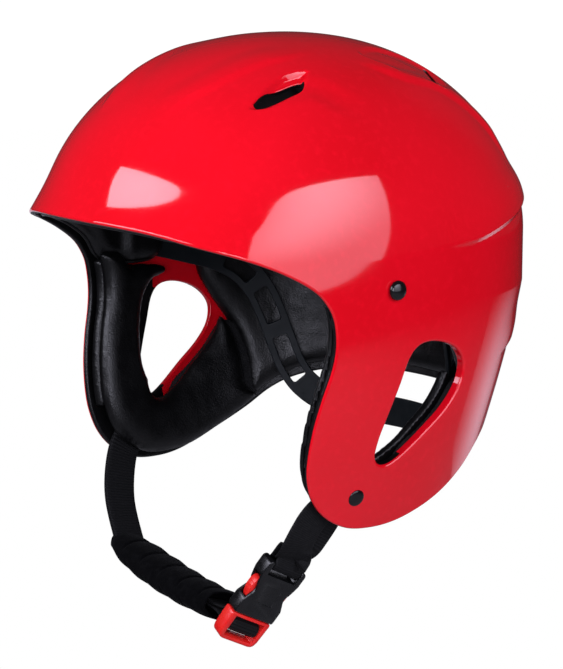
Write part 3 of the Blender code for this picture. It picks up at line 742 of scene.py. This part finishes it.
def paint_lining_and_shade(shell, look):
    """Black from the pads' skin on the shell's deep inward faces, with red left only round the ear openings:
    near the rim and the ear fronts it stands for a black lining, and in the dome, at the rear and on the vent
    slots' walls it is painted shade.
    """
    centres = np.array([face.center for face in shell.data.polygons])
    facing = np.array([face.normal for face in shell.data.polygons])
    surface = shell_along(unit(centres - LAYER_CENTRE))
    out = shell_normal(surface)
    # These faces get the pads' black skin: a lining near the rim and ear fronts, painted shade in the dome,
    # at the rear and on the slot walls.
    deep = (((surface - centres) * out).sum(1) > LINING_AND_SHADE_DEPTH) & ((facing * out).sum(1) < LINING_AND_SHADE_FACING)
    from_rim, from_ear = from_edges(surface)
    before_ear = (centres[:, 1] < -0.006) & (centres[:, 2] < 0.016)
    second_look(shell, look, deep & ((np.abs(from_rim) < 0.016) | (before_ear & (np.abs(from_ear) < 0.012))
                                     | (centres[:, 2] > 0.04) | (centres[:, 1] > 0.055)))


def make_shell(look, lining_and_shade):
    directions, quads = cube_sphere(FINE)
    rough_points = shell_along(directions)
    vents = [slot_distance(to_left(rough_points), outline) for outline in (FRONT_VENT, REAR_VENT)]
    directions, faces, loops = trim(directions, quads, np.minimum.reduce(from_edges(rough_points) + vents))
    plain = shell_along(unit(directions))
    normals = shell_normal(plain)
    edges = []
    for loop in loops:
        edge = plain[loop]
        if len(loop) > 400 or np.ptp(edge[:, 1]) > 0.15:
            profile = round_edge(0.0012, SHELL_THICKNESS, 0.0009)
        elif edge.mean(0)[2] > 0.1:
            profile = round_edge(0.0009, SHELL_THICKNESS, 0.0006, 3)
        else:
            profile = round_edge(0.0014, EAR_EDGE_DEPTH, 0.0006)
        edges.append((loop, np.cross(ring_tangents(edge), normals[loop]), profile))
    shell = thick_sheet("shell_moulding", *moulded(plain, normals), faces, edges, SHELL_THICKNESS)
    finish_piece(shell, look, "helmet", "red_shell", "shell")
    # The shell's inside gets a black lining near the rim, and painted shade in the dome, at the rear and on
    # the vent walls.
    paint_lining_and_shade(shell, lining_and_shade)


# --- Liner ---
NEAR_SHELL = SHELL_THICKNESS + 0.0015
RIM_MARGIN = 0.0009
PIPING_SPACING = 0.0016
PAD_THICKNESS = 0.01
REAR_PAD_THICKNESS = 0.0078
EAR_PAD_DEPTH = SHELL_THICKNESS + 0.0075
EAR_PAD_THICKNESS = 0.0085
LINER_THICKNESS = 0.0054
TEMPLE_DEPTH = 0.0122
TEMPLE_THICKNESS = 0.007
FOLD_PITCH = 0.014
PAD_FINE = 110
EAR_PAD = tenths((-490, 262), (-480, 180), (-492, 60), (-530, -90), (-565, -270), (-574, -420), (-560, -540),
                 (-510, -640), (-430, -708), (-310, -768), (-170, -788), (-20, -776), (140, -730),
                 (300, -664), (415, -606), (430, -575), (430, -410), (420, -280), (385, -180), (330, -100),
                 (250, -50), (262, -140), (150, -290), (10, -425), (-120, -485), (-215, -440), (-272, -330),
                 (-280, -200), (-265, -60), (-225, 80), (-150, 170), (-60, 200), (-70, 240), (-250, 262))
EAR_LINER = tenths((-490, 258), (-480, 180), (-492, 60), (-530, -90), (-565, -270), (-574, -420),
                   (-500, -430), (-420, -400), (-360, -200), (-330, 0), (-330, 258))
EAR_FOAM = tenths((-50, -765), (140, -730), (300, -664), (430, -600), (460, -560), (460, -400), (435, -280),
                  (385, -170), (270, -290), (140, -395), (20, -480), (-30, -620))
FRONT_PAD = tenths((-1600, 810), (-1070, 705), (-900, 640), (-740, 565), (-590, 470), (-500, 350),
                   (-400, 308), (-260, 298), (-160, 300), (-100, 335), (-85, 430), (-130, 525), (-240, 565),
                   (-345, 660), (-400, 900), (-600, 1180), (-1600, 1180))
REAR_PAD = tenths((1600, -300), (1050, -320), (850, -355), (700, -405), (580, -470), (490, -525), (490, -380),
                  (465, -230), (410, -110), (310, 50), (245, 180), (235, 320), (300, 470), (450, 580),
                  (620, 650), (1600, 700))
SIDE_PAD = tenths((-270, 700), (-300, 1000), (-200, 1150), (250, 1150), (430, 1000), (420, 720), (300, 600),
                  (-150, 600))
CROWN_PAD = [(0.046 * math.cos(math.radians(a)), 0.0063 + 0.06 * math.sin(math.radians(a)))
             for a in range(0, 360, 24)]


def creases(points, seed):
    """Soft uneven folds, from -1 to 1, in cloth that is pulled over foam."""
    warped = points / FOLD_PITCH + seed
    return np.array([noise.turbulence(Vector(p), 3, True, amplitude_scale=0.6) for p in warped]) - 0.6


def make_pad(name, outline, look, roll, sign=0, depth=NEAR_SHELL, thickness=PAD_THICKNESS, slot="black_cover",
             fold=0.0004, edge=0.3, from_above=False, temples=(), spread=0.0, to_rim=0.0):
    """A crowned pad against the shell, inside an outline that is drawn from the side or from above.

    Where it stands for temple pads too, it steps inwards over the nape band's ends. Spread swells it past its
    outline, and to_rim adds to that in front and below, as far as the shell's edges.
    """
    directions, quads = cube_sphere(PAD_FINE)
    axes = (0, 1) if from_above else (1, 2)
    loop = catmull(outline, 6, closed=True)

    def inset(points):
        distance = signed_distance(points[:, axes], loop)
        if spread:
            below_rim, in_ear = from_edges(points)
            near_edge = np.maximum(smooth_step((-0.03 - points[:, 1]) / 0.012),
                                   smooth_step((-0.048 - points[:, 2]) / 0.012))
            distance = np.maximum.reduce([distance - spread - to_rim * near_edge, RIM_MARGIN - below_rim,
                                          RIM_MARGIN - in_ear])
        if from_above:
            return np.where(points[:, 2] > 0.05, -distance, -0.05)
        if sign:
            return np.where(points[:, 0] * sign > 0.03, -distance, -0.05)
        return -distance

    directions, faces, loops = trim(directions, quads, inset(shell_along(directions)))
    outer = shell_along(unit(directions))
    normals = shell_normal(outer)
    depth_in = np.maximum(inset(outer), 0)
    share = 1 - np.clip(depth_in / roll, 0, 1)
    if temples:
        step_in = smooth_step((outer[:, 1] + 0.041) / 0.011)
        depth = depth + (TEMPLE_DEPTH - depth) * step_in
        thickness = thickness + (TEMPLE_THICKNESS - thickness) * step_in
    crown = edge + (1 - edge) * np.sqrt(1 - share ** 2)
    wave = fold * creases(outer, len(name)) * smooth_step(depth_in / 0.004)
    back = outer - normals * (depth + 0.0006 * share ** 2)[:, None]
    front = outer - normals * (depth + thickness * crown + wave)[:, None]
    count = len(outer)
    all_faces = both_skins(faces, count)
    for ring in loops:
        all_faces += strip(ring, [i + count for i in ring])
    pad = add_mesh(name, np.concatenate([back, front]), all_faces)
    finish_piece(pad, look, "helmet", slot, name.replace("_cushion", ""), *temples)
    return [back[ring] * 0.45 + front[ring] * 0.55 for ring in loops if len(ring) > 30]


def add_piping(name, rings, radius, look):
    """A round cord on each closed ring of points."""
    sides = 8
    points, faces = [], []
    base = 0
    for ring in rings:
        ring = smoothed(ring)
        along = unit(ring_tangents(ring))
        first = unit(np.cross(along, unit(ring - LAYER_CENTRE)))
        second = np.cross(along, first)
        rows = len(ring)
        for k in range(sides):
            turn = 2 * math.pi * k / sides
            points.append(ring + radius * (first * math.cos(turn) + second * math.sin(turn)))
        index = base + np.arange(sides)[:, None] * rows + np.arange(rows)
        for this, following in zip(index, np.roll(index, -1, axis=0)):
            faces += [(this[j], this[(j + 1) % rows], following[(j + 1) % rows], following[j])
                      for j in range(rows)]
        base += sides * rows
    finish_piece(add_mesh(name, np.concatenate(points), faces), look, "helmet", "black_cover")


def smoothed(ring):
    """Even points along a closed ring, with its small steps averaged out."""
    closed = np.concatenate([ring, ring[:1]])
    length = running_length(closed)
    places = np.linspace(0, length[-1], max(int(length[-1] / PIPING_SPACING), 12), endpoint=False)
    even = np.stack([np.interp(places, length, closed[:, k]) for k in range(3)], axis=1)
    for _ in range(4):
        even = (np.roll(even, 1, axis=0) + 2 * even + np.roll(even, -1, axis=0)) / 4
    return even


def make_liner(skin, foam):
    make_pad("rear_pad_cushion", REAR_PAD, skin, 0.009, thickness=REAR_PAD_THICKNESS, spread=0.0012)
    make_pad("crown_pad_cushion", CROWN_PAD, skin, 0.01, from_above=True)
    temples = ("temple_pad_left", "temple_pad_right")
    rings = make_pad("front_pad_cushion", FRONT_PAD, skin, 0.008, temples=temples, spread=0.0008)
    add_piping("front_pad_piping", rings, 0.0012, skin)
    for side, sign in SIDES:
        make_pad(f"side_pad_{side}_cushion", SIDE_PAD, skin, 0.009, sign)
        make_pad(f"ear_pad_{side}_cushion", EAR_PAD, skin, 0.0105, sign, EAR_PAD_DEPTH, EAR_PAD_THICKNESS,
                 fold=0.0002, spread=0.0003, to_rim=0.009)
        for part, outline, look in (("liner", EAR_LINER, skin), ("foam", EAR_FOAM, foam)):
            make_pad(f"ear_{part}_{side}_cushion", outline, look, 0.0015, sign, thickness=LINER_THICKNESS,
                     slot="black_foam", fold=0.0, edge=0.7, spread=0.005)


# --- Turned pieces ---
TURN_STEPS = 40
TURNED_SHARP_ANGLE = 50


def rivet_frame(centre, sign):
    """Z points out of the helmet along the rivet."""
    place = Vector((sign * centre.x, centre.y, centre.z))
    out = Vector(shell_normal(np.array(place)))
    side = Vector((0, 0, 1)).cross(out).normalized()
    turn = Matrix((side, out.cross(side), out)).transposed().to_4x4()
    return Matrix.Translation(place) @ turn


def turned(name, profile, frame):
    """A solid turned about frame's Z from (radius, height) points, starting and ending on the axis."""
    rings = np.array(profile[1:-1])
    turns = np.linspace(0, 2 * math.pi, TURN_STEPS, endpoint=False)
    points = [(0, 0, profile[0][1])]
    points += [(r * math.cos(t), r * math.sin(t), h) for r, h in rings for t in turns]
    points.append((0, 0, profile[-1][1]))
    last = len(points) - 1
    faces = [(0, 1 + k, 1 + (k + 1) % TURN_STEPS) for k in range(TURN_STEPS)]
    faces += tube(len(rings), TURN_STEPS, 1)
    a = last - TURN_STEPS
    faces += [(last, a + (k + 1) % TURN_STEPS, a + k) for k in range(TURN_STEPS)]
    item = add_mesh(name, points, faces)
    item.data.transform(frame)
    item.data.set_sharp_from_angle(angle=math.radians(TURNED_SHARP_ANGLE))
    return item


def dome(radius, base, height):
    turns = np.linspace(0, math.pi / 2, 9)
    return [(radius * math.sin(t), base + height * math.cos(t)) for t in turns]


def make_rivets(look):
    """Upper rivets have a domed head, and lower ones a flatter and smaller one."""
    shank, radius = 0.0022, 0.0049
    upper = dome(radius, 0.0012, 0.0026) + [(radius - 0.0002, 0.001), (shank, 0.001), (shank, -0.0115),
                                            (0, -0.0115)]
    lower = dome(radius - 0.0005, 0.0003, 0.0011) + [(radius - 0.0007, 0.0001), (shank, 0.0001),
                                                     (shank, -0.0104), (0, -0.0104)]
    for side, sign in SIDES:
        for name, centre, profile, top in (("upper", UPPER_RIVET, upper, -0.0085),
                                           ("lower", LOWER_RIVET, lower, -0.0092)):
            frame = rivet_frame(centre, sign)
            rivet = turned(f"{name}_rivet_head_{side}", profile, frame)
            finish_piece(rivet, look, "helmet", "black_plastic", f"{name}_rivet_{side}")
            ring = [(0, top), (0.0036, top), (0.0043, top - 0.0002), (0.0045, top - 0.0005),
                    (0.0043, top - 0.001), (0, top - 0.001)]
            washer = turned(f"{name}_rivet_washer_{side}", ring, frame)
            finish_piece(washer, look, "helmet", "black_plastic", f"{name}_washer_{side}")


# --- Nape band ---
BAND_WIDTH = 0.0155
BAND_THICKNESS = 0.002
BAND_HALF_WIDTH = 0.092
BAND_HALF_LENGTH = 0.1
BAND_OVAL_Y = -0.004
BAND_LEAN = 0.6
BAND_TAB_X = 0.108
BAND_ROUTE = [(-13, 0.043), (-9, 0.0413), (0, 0.037), (8, 0.033), (16, 0.0285), (24, 0.021), (30, 0.009),
              (34, -0.005), (37.5, -0.021), (41, -0.035), (46, -0.046), (54, -0.0535), (68, -0.0565),
              (90, -0.057)]
BAND_WINDOWS = ((10.0, 12.9), (13.9, 17.0), (18.0, 22.4))
BAND_WINDOW_HALF = 0.0048
BAND_PARTS = 60


def band_points(share):
    """Points of one arm's middle line, from its temple end (0) to the nape (1), on the right side."""
    angle, height = curve_at(BAND_ROUTE, share).T
    lean = 1 + BAND_LEAN * height
    outward = BAND_TAB_X - BAND_HALF_WIDTH * lean
    reach = BAND_HALF_WIDTH * lean + outward * (1 - smooth_step((angle + 13) / 34))
    turn = np.radians(angle)
    y = BAND_OVAL_Y + BAND_HALF_LENGTH * lean * np.sin(turn)
    return np.stack([-reach * np.cos(turn), y, height], axis=1)


def rounded_box(x, y, half_x, half_y, radius):
    """Signed distance to a rectangle with round corners."""
    dx, dy = np.abs(x) - half_x + radius, np.abs(y) - half_y + radius
    return np.hypot(np.maximum(dx, 0), np.maximum(dy, 0)) + np.minimum(np.maximum(dx, dy), 0) - radius


def make_nape_band(look):
    share = np.linspace(0, 1, 420)
    place = 2 * np.minimum(share, 1 - share)
    centre = band_points(place)
    along = band_points(np.minimum(place + 0.01, 1)) - band_points(np.maximum(place - 0.01, 0))
    along[place > 0.99] = (1, 0, 0)
    out = unit(centre * (1 / BAND_HALF_WIDTH ** 2, 1 / BAND_HALF_LENGTH ** 2, 0))
    across = unit(np.cross(along, out))
    mirror = np.where(share > 0.5, -1.0, 1.0)
    for vectors in (centre, across, out):
        vectors[:, 0] *= mirror
    length = running_length(centre)
    rows = np.arange(len(share))
    flat, quads = grid(rows, np.linspace(-0.5, 0.5, 15) * BAND_WIDTH * 1.02)

    def height(values):
        s, t = np.interp(values[:, 0], rows, length), values[:, 1]
        inside = -rounded_box(s - length[-1] / 2, t, length[-1] / 2, BAND_WIDTH / 2, 0.006)
        for first, last in BAND_WINDOWS:
            for start, end in ((first, last), (BAND_PARTS - last, BAND_PARTS - first)):
                a, b = (np.interp(k / BAND_PARTS, share, length) for k in (start, end))
                inside = np.minimum(inside, rounded_box(s - (a + b) / 2, t, (b - a) / 2, BAND_WINDOW_HALF,
                                                            0.0018))
        return inside

    values, faces, loops = trim(flat, quads, height(flat))
    middle, sideways, normals = (np.stack([np.interp(values[:, 0], rows, v[:, k]) for k in range(3)], axis=1)
                                 for v in (centre, across, out))
    points, normals = middle + unit(sideways) * values[:, 1:2], unit(normals)
    if np.einsum("ij,ij->i", face_normals(points, faces), normals[[f[0] for f in faces]]).mean() < 0:
        faces = flipped(faces)
        loops = [list(reversed(loop)) for loop in loops]
    points += normals * BAND_THICKNESS / 2
    profile = round_edge(0.0005, BAND_THICKNESS, 0.0005, 3)
    edges = [(loop, np.cross(ring_tangents(points[loop]), normals[loop]), profile) for loop in loops]
    band = thick_sheet("nape_band_moulding", points, normals, faces, edges, BAND_THICKNESS)
    finish_piece(band, look, "nape_band", "slate_plastic", "nape_band")


# --- Webbing ---
WEBBING_WIDTH = 0.018
WEBBING_THICKNESS = 0.0012
WEBBING_PITCH = 0.0017
STRAP_FAN = 0.0115
STRAP_DEPTH = 0.0069
PAD_FAR_END = np.array((-0.069, -0.053, -0.1195))
PAD_NEAR_END = np.array((0.0455, -0.0705, -0.1245))
BUCKLE_FOOT = np.array((0.0575, -0.0765, -0.1365))
BUCKLE_S = unit(np.array((0.384, 0.418, 0.823)))
BUCKLE_W = np.array((0.008, 0.89, -0.456))
BUCKLE_W = unit(BUCKLE_W - BUCKLE_S * (BUCKLE_W @ BUCKLE_S))
BUCKLE_N = np.cross(BUCKLE_W, BUCKLE_S)
BUCKLE_LENGTH = 0.048


def ribbon(name, centres, across):
    """A woven strap along smooth stations."""
    steps = 6
    share = np.linspace(0, 1, (len(centres) - 1) * steps + 1)
    middle = curve_at(centres, share)
    wide = curve_at(across, share)
    along = unit(np.gradient(middle, axis=0))
    wide = unit(wide - along * (wide * along).sum(1, keepdims=True))
    out = np.cross(wide, along)
    length = running_length(middle)
    half, thick = WEBBING_WIDTH / 2, WEBBING_THICKNESS / 2
    flat = np.linspace(-half + 0.0004, half - 0.0004, 9)
    corner = [(half - 0.0001, thick * 0.55), (half, 0), (half - 0.0001, -thick * 0.55)]
    section = [(x, thick * (1 - 0.12 * (x / half) ** 2)) for x in flat] + corner
    section = np.array(section + [(-x, -z) for x, z in section])
    sides, rows = len(section), len(middle)
    points = middle[:, None] + wide[:, None] * section[None, :, :1] + out[:, None] * section[None, :, 1:]
    points = points.reshape(-1, 3)
    uv = np.stack(np.broadcast_arrays(section[None, :, 0], length[:, None]), axis=-1)
    faces = [(a, d, c, b) for a, b, c, d in tube(rows, sides)]
    faces += [tuple(reversed(range(sides))), tuple(range((rows - 1) * sides, rows * sides))]
    if face_normals(points, faces[4:5])[0] @ out[0] < 0:
        faces = flipped(faces)
    return add_mesh(name, points, faces, uv=uv.reshape(-1, 2))


def folded_ribbon(route, across, opening, far_loop, fan=None):
    """Stations of two layers of webbing that part by opening(t), joined at their far end by far_loop.

    They also slide sideways over each other by fan(t).
    """
    t = np.linspace(0, 1, 15)
    centre = curve_at(route, t)
    along = curve_at(route, t + 0.02) - curve_at(route, t - 0.02)
    share = smooth_step(t)[:, None]
    wide = np.asarray(across[0]) * (1 - share) + np.asarray(across[1]) * share
    wide = unit(wide - along * (wide * along).sum(1, keepdims=True) / (along ** 2).sum(1, keepdims=True))
    out = unit(np.cross(wide, along))
    gap = out * opening(t)[:, None] / 2
    if fan:
        gap = gap + wide * fan(t)[:, None] / 2
    centres = list(centre + gap) + [p for p, _ in far_loop] + list((centre - gap)[::-1])
    return np.array(centres), np.array(list(wide) + [w for _, w in far_loop] + list(wide[::-1]))


def around_bar(s_centre, s_radius, n_radius, first, last):
    """Stations around a buckle's bar, in its own axes, from angle first to last in degrees."""
    turns = np.radians(np.linspace(first, last, 9))
    return [(BUCKLE_FOOT + BUCKLE_S * (s_centre + s_radius * math.cos(t)) + BUCKLE_N * n_radius * math.sin(t),
             BUCKLE_W) for t in turns]


def strap_root(sign):
    """The strap's first points: over the rivet, then out of the flap's lower front edge."""
    rivet = np.array(LOWER_RIVET)
    over_rivet = rivet - shell_normal(rivet) * STRAP_DEPTH

    def under_flap(y, z):
        place = flank(np.array(y), np.array(z))
        return place - shell_normal(place) * STRAP_DEPTH

    behind = under_flap(over_rivet[1] + 0.007, over_rivet[2] + 0.006)
    at_edge = under_flap(over_rivet[1] - 0.014, over_rivet[2] - 0.013)
    return [p * (sign, 1, 1) for p in (behind, over_rivet, at_edge)]


def pad_across():
    """The chin pad's width direction."""
    along = PAD_NEAR_END - PAD_FAR_END
    wide = np.array((0, 0.93, -0.3))
    return unit(wide - along * (wide @ along) / (along @ along))


def make_straps(looks):
    flap = {sign: (sign * -0.11, 0.69, -0.73) for _, sign in SIDES}
    top_of_female = BUCKLE_FOOT + BUCKLE_S * (BUCKLE_LENGTH + 0.006)
    route = strap_root(1) + [np.array((0.083, -0.0525, -0.088)), top_of_female]
    loop = around_bar(0.0462, 0.0032, 0.004, -50, -310)

    def opening(t):
        return WEBBING_PITCH + 0.004 * smooth_step((t - 0.35) / 0.45)

    def fan(t):
        return STRAP_FAN * smooth_step((t - 0.2) / 0.45) * smooth_step((1 - t) / 0.35)

    stations = folded_ribbon(route, (flap[1], BUCKLE_W), opening, loop, fan)
    strap = ribbon("left_webbing", *stations)
    finish_piece(strap, looks[0], "strap_left", "black_webbing", "webbing_left")
    faces = np.arange(len(strap.data.polygons))
    second_look(strap, looks[1], faces > len(faces) / 2)
    end = PAD_FAR_END + np.array((0.0045, -0.001, 0.0005))
    route = strap_root(-1) + [np.array((-0.08, -0.05, -0.096)), end]
    stations = folded_ribbon(route, (flap[-1], pad_across()), lambda t: WEBBING_PITCH + 0 * t, [])
    strap = ribbon("right_webbing", *stations)
    finish_piece(strap, looks[0], "strap_right", "black_webbing", "webbing_right")
    start = PAD_NEAR_END - unit(PAD_NEAR_END - PAD_FAR_END) * 0.0085
    behind_bar = BUCKLE_FOOT + BUCKLE_S * 0.0085 - BUCKLE_N * 0.0075
    route = [start] + [start + (behind_bar - start) * k for k in (0.35, 0.7, 1)]
    loop = around_bar(0.0084, 0.0034, 0.0034, -130, -410)
    stations = folded_ribbon(route, (pad_across(), BUCKLE_W), lambda t: WEBBING_PITCH + 0.0032 * t ** 3, loop)
    strap = ribbon("lock_webbing", *stations)
    finish_piece(strap, looks[0], None, "black_webbing", "webbing_end")
    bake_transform(strap)


# --- Chin pad ---
CHIN_PAD_HALF_WIDTH = 0.0152
CHIN_PAD_HALF_THICKNESS = 0.008
CHIN_PAD_FLATNESS = 0.8
QUILT_PITCH = 0.0215
QUILT_SLANT = 0.55


def make_chin_pad(look):
    """A quilted sleeve with chevron seams and open, turned-in ends."""
    along = PAD_NEAR_END - PAD_FAR_END
    half_length = np.linalg.norm(along) / 2
    along = along / (2 * half_length)
    across = pad_across()
    out = np.cross(along, across)
    middle = (PAD_NEAR_END + PAD_FAR_END) / 2
    rows = 220
    sides = 96
    height = np.linspace(-1, 1, rows)[:, None]
    turn = np.linspace(0, 2 * math.pi, sides, endpoint=False)[None, :]
    mouth = smooth_step((np.abs(height) - 0.8) / 0.2)
    girth = (1 - np.where(height < 0, 0.3, 0.08) * np.abs(height) ** 3) * (1 - 0.08 * mouth * (height < 0))
    cos = np.sign(np.cos(turn)) * np.abs(np.cos(turn)) ** CHIN_PAD_FLATNESS
    sin = np.sign(np.sin(turn)) * np.abs(np.sin(turn)) ** CHIN_PAD_FLATNESS
    wide = CHIN_PAD_HALF_WIDTH * girth * cos
    length = height * half_length
    face = np.where(np.sin(turn) >= 0, 1.0, -1.0)
    chevron = (length + QUILT_SLANT * wide * face) / QUILT_PITCH
    from_seam = np.abs(chevron - np.round(chevron)) * QUILT_PITCH
    puff = 0.0011 * np.sqrt(np.clip(from_seam / (QUILT_PITCH / 2), 0, 1)) - 0.0007 * bump(from_seam, 0.0018)
    edge_seam = np.abs(np.sin(turn)) * CHIN_PAD_HALF_THICKNESS
    puff = puff * smooth_step(edge_seam / 0.004) - 0.0002 * bump(edge_seam, 0.0012)
    thick = (CHIN_PAD_HALF_THICKNESS - 0.0008) * girth * sin + puff * np.sign(np.sin(turn))
    sag = -0.003 * (1 - height ** 2)
    points = middle + along * length[..., None] + across * wide[..., None] + out * (thick + sag)[..., None]
    turned_in = ((0.96, 0.0008), (0.91, 0.0004), (0.87, -0.001), (0.83, -0.005), (0.78, -0.01),
                 (0.02, -0.0105))
    for end, sign in ((0, -1), (-1, 1)):
        rim = points[end]
        hub = rim.mean(0)
        rings = np.stack([hub + (rim - hub) * size + along * (sign * reach) for size, reach in turned_in])
        points = np.concatenate([rings[::-1], points]) if sign < 0 else np.concatenate([points, rings])
    total = len(points)
    faces = tube(total, sides)
    faces += [tuple(range(sides)), tuple(reversed(range((total - 1) * sides, total * sides)))]
    flat = points.reshape(-1, 3)
    halfway = total * sides // 2
    centre_out = flat[faces[halfway][0]] - middle
    centre_out -= along * (centre_out @ along)
    if face_normals(flat, faces[halfway:halfway + 1])[0] @ centre_out < 0:
        faces = flipped(faces)
    pad = add_mesh("chin_cup_sleeve", flat, faces)
    finish_piece(pad, look, "strap_right", "black_velour", "chin_pad")


# --- Buckle ---
FEMALE_BOTTOM = 0.016
FEMALE_HALF_THICKNESS = 0.0045
CAVITY_HALF_THICKNESS = 0.003
FRAME_HALF_THICKNESS = 0.004
SLOT_HALF_WIDTH = 0.0096
LATCH_HALF_THICKNESS = 0.0026


def buckle_frame():
    """X across the buckle, Y up the strap, Z out of its face."""
    turn = Matrix((Vector(BUCKLE_W), Vector(BUCKLE_S), Vector(BUCKLE_N))).transposed().to_4x4()
    return Matrix.Translation(Vector(BUCKLE_FOOT)) @ turn


def plate(outline, low, high, bevel=0.0):
    """A flat outline made solid from Z low to high, with its edges rounded."""
    work = bmesh.new()
    face = work.faces.new([work.verts.new((x, y, low)) for x, y in outline])
    work.normal_update()
    if face.normal.z > 0:
        face.normal_flip()
    top = bmesh.ops.extrude_face_region(work, geom=[face])
    moved = [v for v in top["geom"] if isinstance(v, bmesh.types.BMVert)]
    bmesh.ops.translate(work, verts=moved, vec=(0, 0, high - low))
    bmesh.ops.recalc_face_normals(work, faces=work.faces)
    if bevel:
        sharp = [e for e in work.edges if e.calc_face_angle(0) > math.radians(25)]
        bmesh.ops.bevel(work, geom=sharp, offset=bevel, segments=2, profile=0.5, affect="EDGES",
                        clamp_overlap=True)
    mesh = bpy.data.meshes.new("plate")
    work.to_mesh(mesh)
    work.free()
    return add_object("plate", mesh)


def block(centre, half_sizes, bevel=0.0):
    x, y, z = centre
    a, b, c = half_sizes
    return plate([(x - a, y - b), (x + a, y - b), (x + a, y + b), (x - a, y + b)], z - c, z + c, bevel)


def combine(item, others, operation):
    for other in others:
        step = item.modifiers.new("combine", "BOOLEAN")
        step.operation = operation
        step.object = other
        step.solver = "EXACT"
    settle(item)
    for other in others:
        bpy.data.objects.remove(other)


def settle(item):
    """Apply an object's modifiers."""
    bpy.context.view_layer.update()
    graph = bpy.context.evaluated_depsgraph_get()
    mesh = bpy.data.meshes.new_from_object(item.evaluated_get(graph))
    item.modifiers.clear()
    item.data = mesh


def soften(item):
    step = item.modifiers.new("edges", "BEVEL")
    step.width = 0.00035
    step.segments = 2
    step.limit_method = "ANGLE"
    step.angle_limit = math.radians(35)
    step.use_clamp_overlap = True
    step.harden_normals = True
    item.data.shade_smooth()
    settle(item)


def finish_buckle(item, name, look, body, slot, node):
    item.data.transform(buckle_frame())
    item.name = name
    item.data.name = name
    item.data.shade_smooth()
    item.data.set_sharp_from_angle(angle=math.radians(40))
    finish_piece(item, look, body, slot, node)


def both_sides(half):
    return half + [(-w, s) for w, s in reversed(half)]


def arc(centre, radius, first, last):
    turns = np.radians(np.linspace(first, last, 7))
    return [(centre[0] + radius * math.cos(t), centre[1] + radius * math.sin(t)) for t in turns]


def make_female(look):
    top = BUCKLE_LENGTH
    half = [(0.0126, FEMALE_BOTTOM), (0.0129, 0.0175), (0.0129, 0.024)]
    half += arc((0.015, 0.031), 0.005, 215, 145)
    half += [(0.012, 0.0378), (0.0125, 0.04), (0.0125, top - 0.0016), (0.0118, top - 0.0004), (0.0108, top)]
    body = plate(both_sides(half), -FEMALE_HALF_THICKNESS, FEMALE_HALF_THICKNESS, 0.0007)
    cavity = block((0, 0.02625, 0), (0.0123, 0.01225, CAVITY_HALF_THICKNESS))
    slot = block((0, 0.0425, 0), (SLOT_HALF_WIDTH, 0.002, 0.01))
    clears = [block((0, 0.048, side * 0.004), (SLOT_HALF_WIDTH, 0.006, 0.0017)) for side in (1, -1)]
    dish = block((0, 0.03, FEMALE_HALF_THICKNESS + 0.0008), (0.0052, 0.0052, 0.0011))
    combine(body, [cavity, slot, dish] + clears, "DIFFERENCE")
    soften(body)
    finish_buckle(body, "buckle_socket", look, "strap_left", "black_plastic", "buckle_female")


def make_male(look):
    top = FEMALE_BOTTOM - 0.0004
    half = [(0.0085, 0.0), (0.0104, 0.0004), (0.0117, 0.0016), (0.0124, 0.004), (0.0129, top - 0.0015),
            (0.0127, top)]
    body = plate(both_sides(half), -FRAME_HALF_THICKNESS, FRAME_HALF_THICKNESS, 0.0008)
    windows = [block((0, place, 0), (SLOT_HALF_WIDTH, reach, 0.01))
               for place, reach in ((0.0044, 0.0022), (0.0121, 0.0019))]
    clears = [block((0, 0.0085, side * 0.004), (SLOT_HALF_WIDTH, 0.003, 0.0022)) for side in (1, -1)]
    combine(body, windows + clears, "DIFFERENCE")
    combine(body, [block((0, 0.0235, 0), (0.0026, 0.0105, 0.002))], "UNION")
    soften(body)
    finish_buckle(body, "buckle_lock_frame", look, "buckle_lock", "red_plastic", "buckle_male")


def make_latches(look):
    """A springy arm each side, whose ribbed head shows in the buckle's side window."""
    foot = FEMALE_BOTTOM + 0.0002
    for side, sign in SIDES:
        arm = [(0.006, foot), (0.0096, foot), (0.0096, 0.0235), (0.0108, 0.0262), (0.0117, 0.0288),
               (0.012, 0.0315), (0.0118, 0.034), (0.011, 0.0358), (0.0098, 0.0367), (0.0078, 0.0365),
               (0.007, 0.0345), (0.0069, 0.03), (0.0062, 0.024)]
        outline = [(-sign * w, s) for w, s in arm]
        latch = plate(outline, -LATCH_HALF_THICKNESS, LATCH_HALF_THICKNESS, 0.0005)
        grooves = [block((-sign * 0.0121, s, 0), (0.0004, 0.0003, 0.01)) for s in (0.0295, 0.0312, 0.0329)]
        combine(latch, grooves, "DIFFERENCE")
        finish_buckle(latch, f"latch_arm_{side}", look, f"latch_{side}", "red_plastic", f"latch_{side}")


def make_buckle():
    black = moulded_look("black_moulding", (0.0026, 0.0027, 0.003), (0.0055, 0.0055, 0.006), 0.27)
    red = moulded_look("red_moulding", (0.78, 0.012, 0.01), (0.82, 0.03, 0.02), 0.3)
    make_female(black)
    make_male(red)
    make_latches(red)
    make_rivets(moulded_look("rivet_moulding", (0.004, 0.004, 0.0045), (0.008, 0.008, 0.009), 0.16))


make_camera()
make_studio()
COVER = skin_look()
make_shell(shell_look(), COVER)
make_liner(COVER, foam_look())
make_nape_band(band_look())
make_straps((webbing_look(True), webbing_look(False)))
make_chin_pad(velour_look())
make_buckle()
